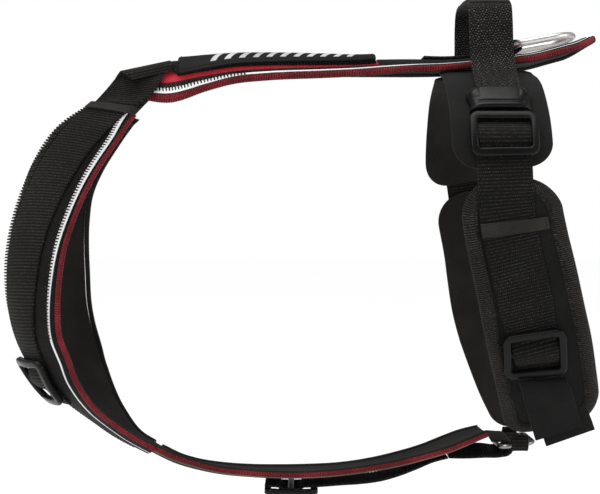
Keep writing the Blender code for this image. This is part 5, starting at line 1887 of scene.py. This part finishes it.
@dataclass
class Girth:
    """The girth straps: pads, webbing, buckles, keepers and slides of both sides."""

    surface: Strap = field(init=False)
    webbing_half: float = 19.0
    upper_half: float = 35.0
    upper_end_z: float = -86.0
    lower_span_z: Pair = (-93.5, -278.5)
    foot_radii: Pair = (16.0, 33.0)
    socket_span_z: Pair = (-33.5, -48.5)
    socket_share: tuple[float, ...] = (0.0, 0.12, 0.35, 0.6, 0.8, 1.0)
    socket_half: tuple[float, ...] = (19.0, 22.0, 23.2, 21.2, 20.6, 22.0)
    frame_z: float = -64.5
    slide_z: float = -215.0
    slide_turn: float = math.radians(7.0)
    keeper_z: float = -127.0
    keeper_half: float = 4.6
    keeper_lean: float = 0.07
    floor: float = GIRTH_PAD / 2 + GAP + 0.1

    def __post_init__(self) -> None:
        """Lays out both girth surfaces."""
        rows = np.array(GIRTH_ROWS, float)
        self.surface = surface_from_line(rows[:, [0, 1, 2]], 40.0, (-1.0, 0.0, 0.0))
        self.surface.twin = surface_from_line(rows[:, [3, 1, 2]], 40.0, (-1.0, 0.0, 0.0))

    def build(self) -> None:
        """All girth pieces."""
        self.build_upper_pad()
        self.build_lower_pad()
        self.build_webbing()
        self.build_buckle()
        self.build_keeper()

    def build_upper_pad(self) -> None:
        """The pad under the buckle, rounded at its lower end."""
        girth = self.surface
        end = girth.find(2, self.upper_end_z)
        stations = spread(0.0, end, 150, 0.7)
        reach = rounded_reach(stations * girth.length, end * girth.length, self.upper_half, 4.0, 18.0)
        across = crowded(41)
        height = pad_section(across, GIRTH_PAD / 2, edge=0.3, power=10.0)
        use = Use(Slot.BLACK_FABRIC, (CHANNEL_CLOTH, LINING_CLOTH), ("upper_girth_pad",), fill=0.5)
        place_pair(
            "upper_girth_pad_cloth", lambda s: wall(s, stations, reach[:, None] * across, -height, height),
            girth, use,
        )

    def lower_reach(self, count: int, ends: float) -> tuple[Array, Array, Array]:
        """Stations down the lower pad, and its reach from the strap's middle line.

        Args:
            count: How many stations.
            ends: How much they crowd towards both ends.

        Returns:
            The stations, the reach in front and the reach behind.
        """
        girth = self.surface
        first, last = (girth.find(2, z) for z in self.lower_span_z)
        stations = spread(first, last, count, ends)
        along, length = (stations - first) * girth.length, (last - first) * girth.length
        heights = girth.read(girth.middle, stations)[:, 2]
        z, *columns = np.array(LOWER_PAD_REACH).T
        front, rear = (
            rounded_reach(along, length, np.interp(heights, z, column), 26.0, radius)
            for column, radius in zip(columns, self.foot_radii)
        )
        return stations, front, rear

    def lower_outline(self, inset: float, step: float) -> Array:
        """The lower pad's outline as a closed path, its inside to the left.

        Args:
            inset: How far in from the edge.
            step: Distance between points.

        Returns:
            Rows of distance along the strap and side.
        """
        stations, front, rear = self.lower_reach(400, 0.85)
        place = stations * self.surface.length
        path = np.concatenate([np.stack([place, -rear], axis=1), np.stack([place, front], axis=1)[::-1]])
        path = evenly(looped(path), step)[:-1]
        if inset:
            path = path + path_frame(path, True)[1] * inset
        return path

    def build_lower_pad(self) -> None:
        """The long pad: a dark flat field, the raised, ribbed border round it and its seam."""
        girth = self.surface
        stations, front, rear = self.lower_reach(220, 0.8)
        front, rear = front - 1.2, rear - 1.2
        share = (1 + crowded(31)) / 2
        sides = -rear[:, None] * (1 - share) + front[:, None] * share
        edge = np.clip(np.minimum(share, 1 - share) * 16, 0.0, 1.0) ** 0.5
        height = GIRTH_PAD / 2 * (0.4 + 0.6 * edge)
        use = Use(Slot.BLACK_FABRIC, (CHANNEL_CLOTH, LINING_CLOTH), ("lower_girth_pad",), fill=0.4)
        place_pair("lower_girth_pad_cloth", lambda s: wall(s, stations, sides, -height, height), girth, use)
        path = self.lower_outline(0.0, 1.0)
        distance = path[:, 0] - stations[0] * girth.length
        # The border is lower at the head end, where the buckle frame and upper pad come near.
        grow = np.clip(distance / 20.0, 0.35, 1.0)
        profile = np.array(BORDER_PROFILE)

        def border(surface: Strap) -> Shape:
            """The border: its profile's heights shrink near the head end."""
            normal = path_frame(path, True)[1]
            inset = np.broadcast_to(profile[:, 0], (len(path), len(profile)))
            height = 1.0 + (profile[:, 1] - 1.0) * grow[:, None]
            rings = surface.at(path[:, None] + normal[:, None] * inset[..., None], height)
            return skin(rings, path, profile, True)

        place_pair("lower_pad_border", border, girth, Use(Slot.BLACK_FABRIC, (BORDER_CLOTH,), fill=0.5))
        line = looped(self.lower_outline(8.6, 1.0))
        place_pair(
            "lower_border_seam", lambda s: stitches(s, line, 4.15, *BORDER_SEAM), girth,
            Use(Slot.BLACK_FABRIC, (SEAM_THREAD,)),
        )

    def build_webbing(self) -> None:
        """The webbing from the buckle frame to the ring, over two bars, with its slide."""
        girth = self.surface
        frame_at, slide_at = (girth.find(2, z) for z in (self.frame_z, self.slide_z))
        start = frame_at - 11.0 / girth.length
        end = girth.find(2, -272.0)
        run = np.linspace(start, end, 80)
        pinch = 2.4 * np.clip(1.4 - np.abs(run - slide_at) * girth.length / 22.0, 0.0, 1.0)
        taper = 7.0 * np.clip((run - slide_at) * girth.length / 70.0, 0.0, 1.0)
        half = self.webbing_half - pinch - taper

        def rise(along: Array, sides: Array) -> Array:
            """The climbs over the buckle frame's bar and the slide's bar."""
            lean = sides * math.tan(self.slide_turn)
            over_frame = hump(along - frame_at * girth.length)
            return over_frame + hump(along - slide_at * girth.length + lean)

        lie = {"floor": self.floor, "rise": rise, "middle": lambda t: np.full(len(t), -0.5)}
        length = (end - start) * girth.length
        cut = Cut(2 * self.webbing_half, length, Hold.STRETCHED, ("lower_girth_pad_near",))
        place_pair(
            "girth_webbing_cloth", lambda s: strip(s, start, end, half, 2.7, **lie), girth,
            Use(Slot.BLACK_WEBBING, (GIRTH_CLOTH,), ("girth_webbing",), cut=cut),
        )
        height = self.floor + WEBBING + 3.2
        slide = Slide(girth, slide_at, 0.6, 16.3, 20.4, height, self.slide_turn)
        buckle = Slide(girth, frame_at, -0.5, 13.3, 21.7, height)
        for name, node, ring in (
            ("girth_slide_frame", "girth_slide", slide), ("buckle_frame_ring", "buckle_frame", buckle),
        ):
            place_pair(name, ring.shape, girth, Use(Slot.BLACK_PLASTIC, (PLASTIC,), (node,)))

    def build_buckle(self) -> None:
        """The buckle's socket: a crowned block with round shoulders and a waist."""
        girth = self.surface
        stations = spread(*(girth.find(2, z) for z in self.socket_span_z), 60, 0.5)
        share = np.linspace(0.0, 1.0, 60)
        half = np.interp(share, self.socket_share, self.socket_half)
        half = np.convolve(np.pad(half, 4, mode="edge"), np.ones(9) / 9, mode="valid")
        across = crowded(41)
        ends = np.clip(np.minimum(share, 1 - share) / 0.12, 0.0, 1.0) ** 0.5
        crown = 6.6 + 4.0 * (1 - np.abs(across) ** 5)
        high = self.floor + (crown - self.floor) * (0.72 + 0.28 * ends[:, None])
        groove = 0.7 * np.exp(-(((share[:, None] - 0.72) / 0.05) ** 2)) * (np.abs(across) < 0.8)
        arm = stations[6:34]
        round_off = np.sin(np.linspace(0.0, np.pi, 28))[:, None] ** 0.5
        edge = np.linspace(0.62, 0.97, 9)
        bulge = round_off * np.sin(np.linspace(0.15, np.pi, 9)) ** 0.5
        shoulder = high[6:34].max(axis=1, keepdims=True) - 4.0 * edge**5

        def socket(surface: Strap) -> Shape:
            """The block and the two raised release arms beside its mouth."""
            low, top = shoulder - 1.5, shoulder + 0.9 * bulge - 0.15
            arms = [wall(surface, arm, sign * half[6:34, None] * edge, low, top) for sign in (-1.0, 1.0)]
            return joined(wall(surface, stations, half[:, None] * across, self.floor, high - groove), *arms)

        place_pair(
            "buckle_socket_body", socket, girth,
            Use(Slot.BLACK_PLASTIC, (PLASTIC,), ("buckle_socket",), crease=60.0),
        )

    def build_keeper(self) -> None:
        """The elastic band that holds the spare webbing, with its stitched ends."""
        girth = self.surface
        step = 1.0 / girth.length
        side = np.concatenate([np.linspace(-28.0, -20.6, 10), np.linspace(-19.0, 19.2, 30)])
        low = np.interp(side, [-28.0, -24.5, -20.6, 19.2], [2.4, 2.9, 4.5, 4.6])
        reach = np.linspace(-self.keeper_half, self.keeper_half, 9)[:, None]
        run = girth.find(2, self.keeper_z) + (reach - side * self.keeper_lean) * step
        place_pair(
            "elastic_keeper_band", lambda s: wall(s, run, side, low, low + 1.1), girth,
            Use(Slot.BLACK_WEBBING, (ELASTIC_CLOTH,), ("elastic_keeper",)),
        )
        middle = girth.find(2, self.keeper_z) * girth.length
        path = np.array([(middle - 3.8 + 1.8, -26.3), (middle + 3.8 + 1.8, -26.3)])
        place_pair(
            "elastic_keeper_seam", lambda s: stitches(s, path, 3.9, *KEEPER_SEAM), girth,
            Use(Slot.BLACK_WEBBING, (THREAD,)),
        )


@dataclass
class StrapEnds:
    """The free ends below the girth slides, and the links to the belly ring."""

    girth: Girth

    def build(self) -> None:
        """Loose ends, folded ends and ring links of both sides."""
        surface = self.girth.surface
        slide_at = surface.find(2, self.girth.slide_z)
        start = surface.place(slide_at + 22.5 / surface.length, -1.5, 7.4)
        loose = [start] + [np.array(row, float) for row in LOOSE_END_ROWS]
        link = [(RING_LINK_X, y, z) for y, z in RING_LINK_ROWS]
        for name, rows, half, finish, hold in (
            ("loose_end", loose, 17.5, PLAIN_STRAP, Hold.HUNG),
            ("folded_end", FOLDED_END_ROWS, 18.5, PLAIN_STRAP, Hold.FOLDED),
            ("ring_link", link, 6.0, WEBBING_CLOTH, Hold.FOLDED),
        ):
            ribbon = surface_from_line(rows, half, (-1.0, 0.0, 0.0))
            depth = 0.2 if name == "ring_link" else 0.05
            cut = Cut(2 * half, ribbon.length, hold, ("girth_slide_near",))
            place_pair(
                f"{name}_webbing", lambda s, half=half, depth=depth: strip(s, 0.0, 1.0, half, depth=depth),
                ribbon, Use(Slot.BLACK_WEBBING, (finish,), (name,), cut=cut),
            )


@dataclass
class Studio:
    """Camera, pale floor and soft light."""

    lens: float = 69.42
    eye: tuple[float, float, float] = (0.0, -0.900, -0.141)
    floor_z: float = -0.45
    floor_size: float = 60.0
    floor_white: float = 0.99
    fill: float = 0.30

    def build(self) -> None:
        """All that isn't part of the harness."""
        scene = bpy.context.scene
        camera = bpy.data.cameras.new("photo_camera")
        camera.lens = self.lens
        camera.sensor_width = 36.0
        holder = new_object("photo_camera", camera)
        holder.location = self.eye
        holder.rotation_euler = (math.pi / 2, 0.0, 0.0)
        scene.camera = holder
        scene.view_settings.view_transform = "Standard"

        mesh = bpy.data.meshes.new("studio_floor")
        half = self.floor_size / 2
        corners = [(-half, -half), (half, -half), (half, half), (-half, half)]
        mesh.from_pydata([(x, y, self.floor_z) for x, y in corners], [], [(0, 1, 2, 3)])
        material = bpy.data.materials.new("studio_floor")
        material.use_nodes = True
        shader = material.node_tree.nodes["Principled BSDF"]
        shader.inputs["Base Color"].default_value = (*[self.floor_white] * 3, 1.0)
        shader.inputs["Roughness"].default_value = 0.9
        mesh.materials.append(material)
        floor = new_object("studio_floor", mesh)

        world = bpy.data.worlds.new("studio_world")
        world.use_nodes = True
        sketch = NodeSketch(world.node_tree)
        background = world.node_tree.nodes["Background"]
        background.inputs["Color"].default_value = (1.0, 1.0, 1.0, 1.0)
        path = sketch.add("ShaderNodeLightPath")
        strength = sketch.math("MULTIPLY_ADD", path.outputs["Is Camera Ray"], 1.0 - self.fill, self.fill)
        sketch.feed(background.inputs["Strength"], strength)
        scene.world = world

        for name, kind, place, aim, size, power in (
            ("sun", "SUN", (-0.3, -0.4, 2.0), (0.0, 0.0, 0.0), 0.9, 2.42),
            ("key", "AREA", (-0.8, -1.1, 0.8), (0.0, 0.0, -0.1), 0.8, 7.5),
            ("side", "AREA", (1.2, -0.6, 0.3), (0.1, 0.0, -0.1), 0.6, 5.0),
        ):
            light = bpy.data.lights.new(name, kind)
            if kind == "SUN":
                light.angle = size
            else:
                light.size = size
            light.energy = power
            lamp = new_object(name, light)
            lamp.location = place
            direction = Vector(aim) - Vector(place)
            lamp.rotation_euler = direction.to_track_quat("-Z", "Y").to_euler()


def main() -> None:
    """Builds the studio and every part of the harness, in order."""
    logging.basicConfig(level=logging.INFO, format="%(message)s")
    Studio().build()
    back = surface_from_profile(BACK_ROWS, 26.0, 1)
    BackPad(back).build()
    BackLabel(back).build()
    LeashRing(back).build()
    Handle().build()
    shoulders = Shoulders()
    shoulders.build()
    Withers(shoulders, back).build()
    Belly(surface_from_profile(BELLY_ROWS, 25.0, -1)).build()
    girth = Girth()
    girth.build()
    StrapEnds(girth).build()


if __name__ == "__main__":
    main()
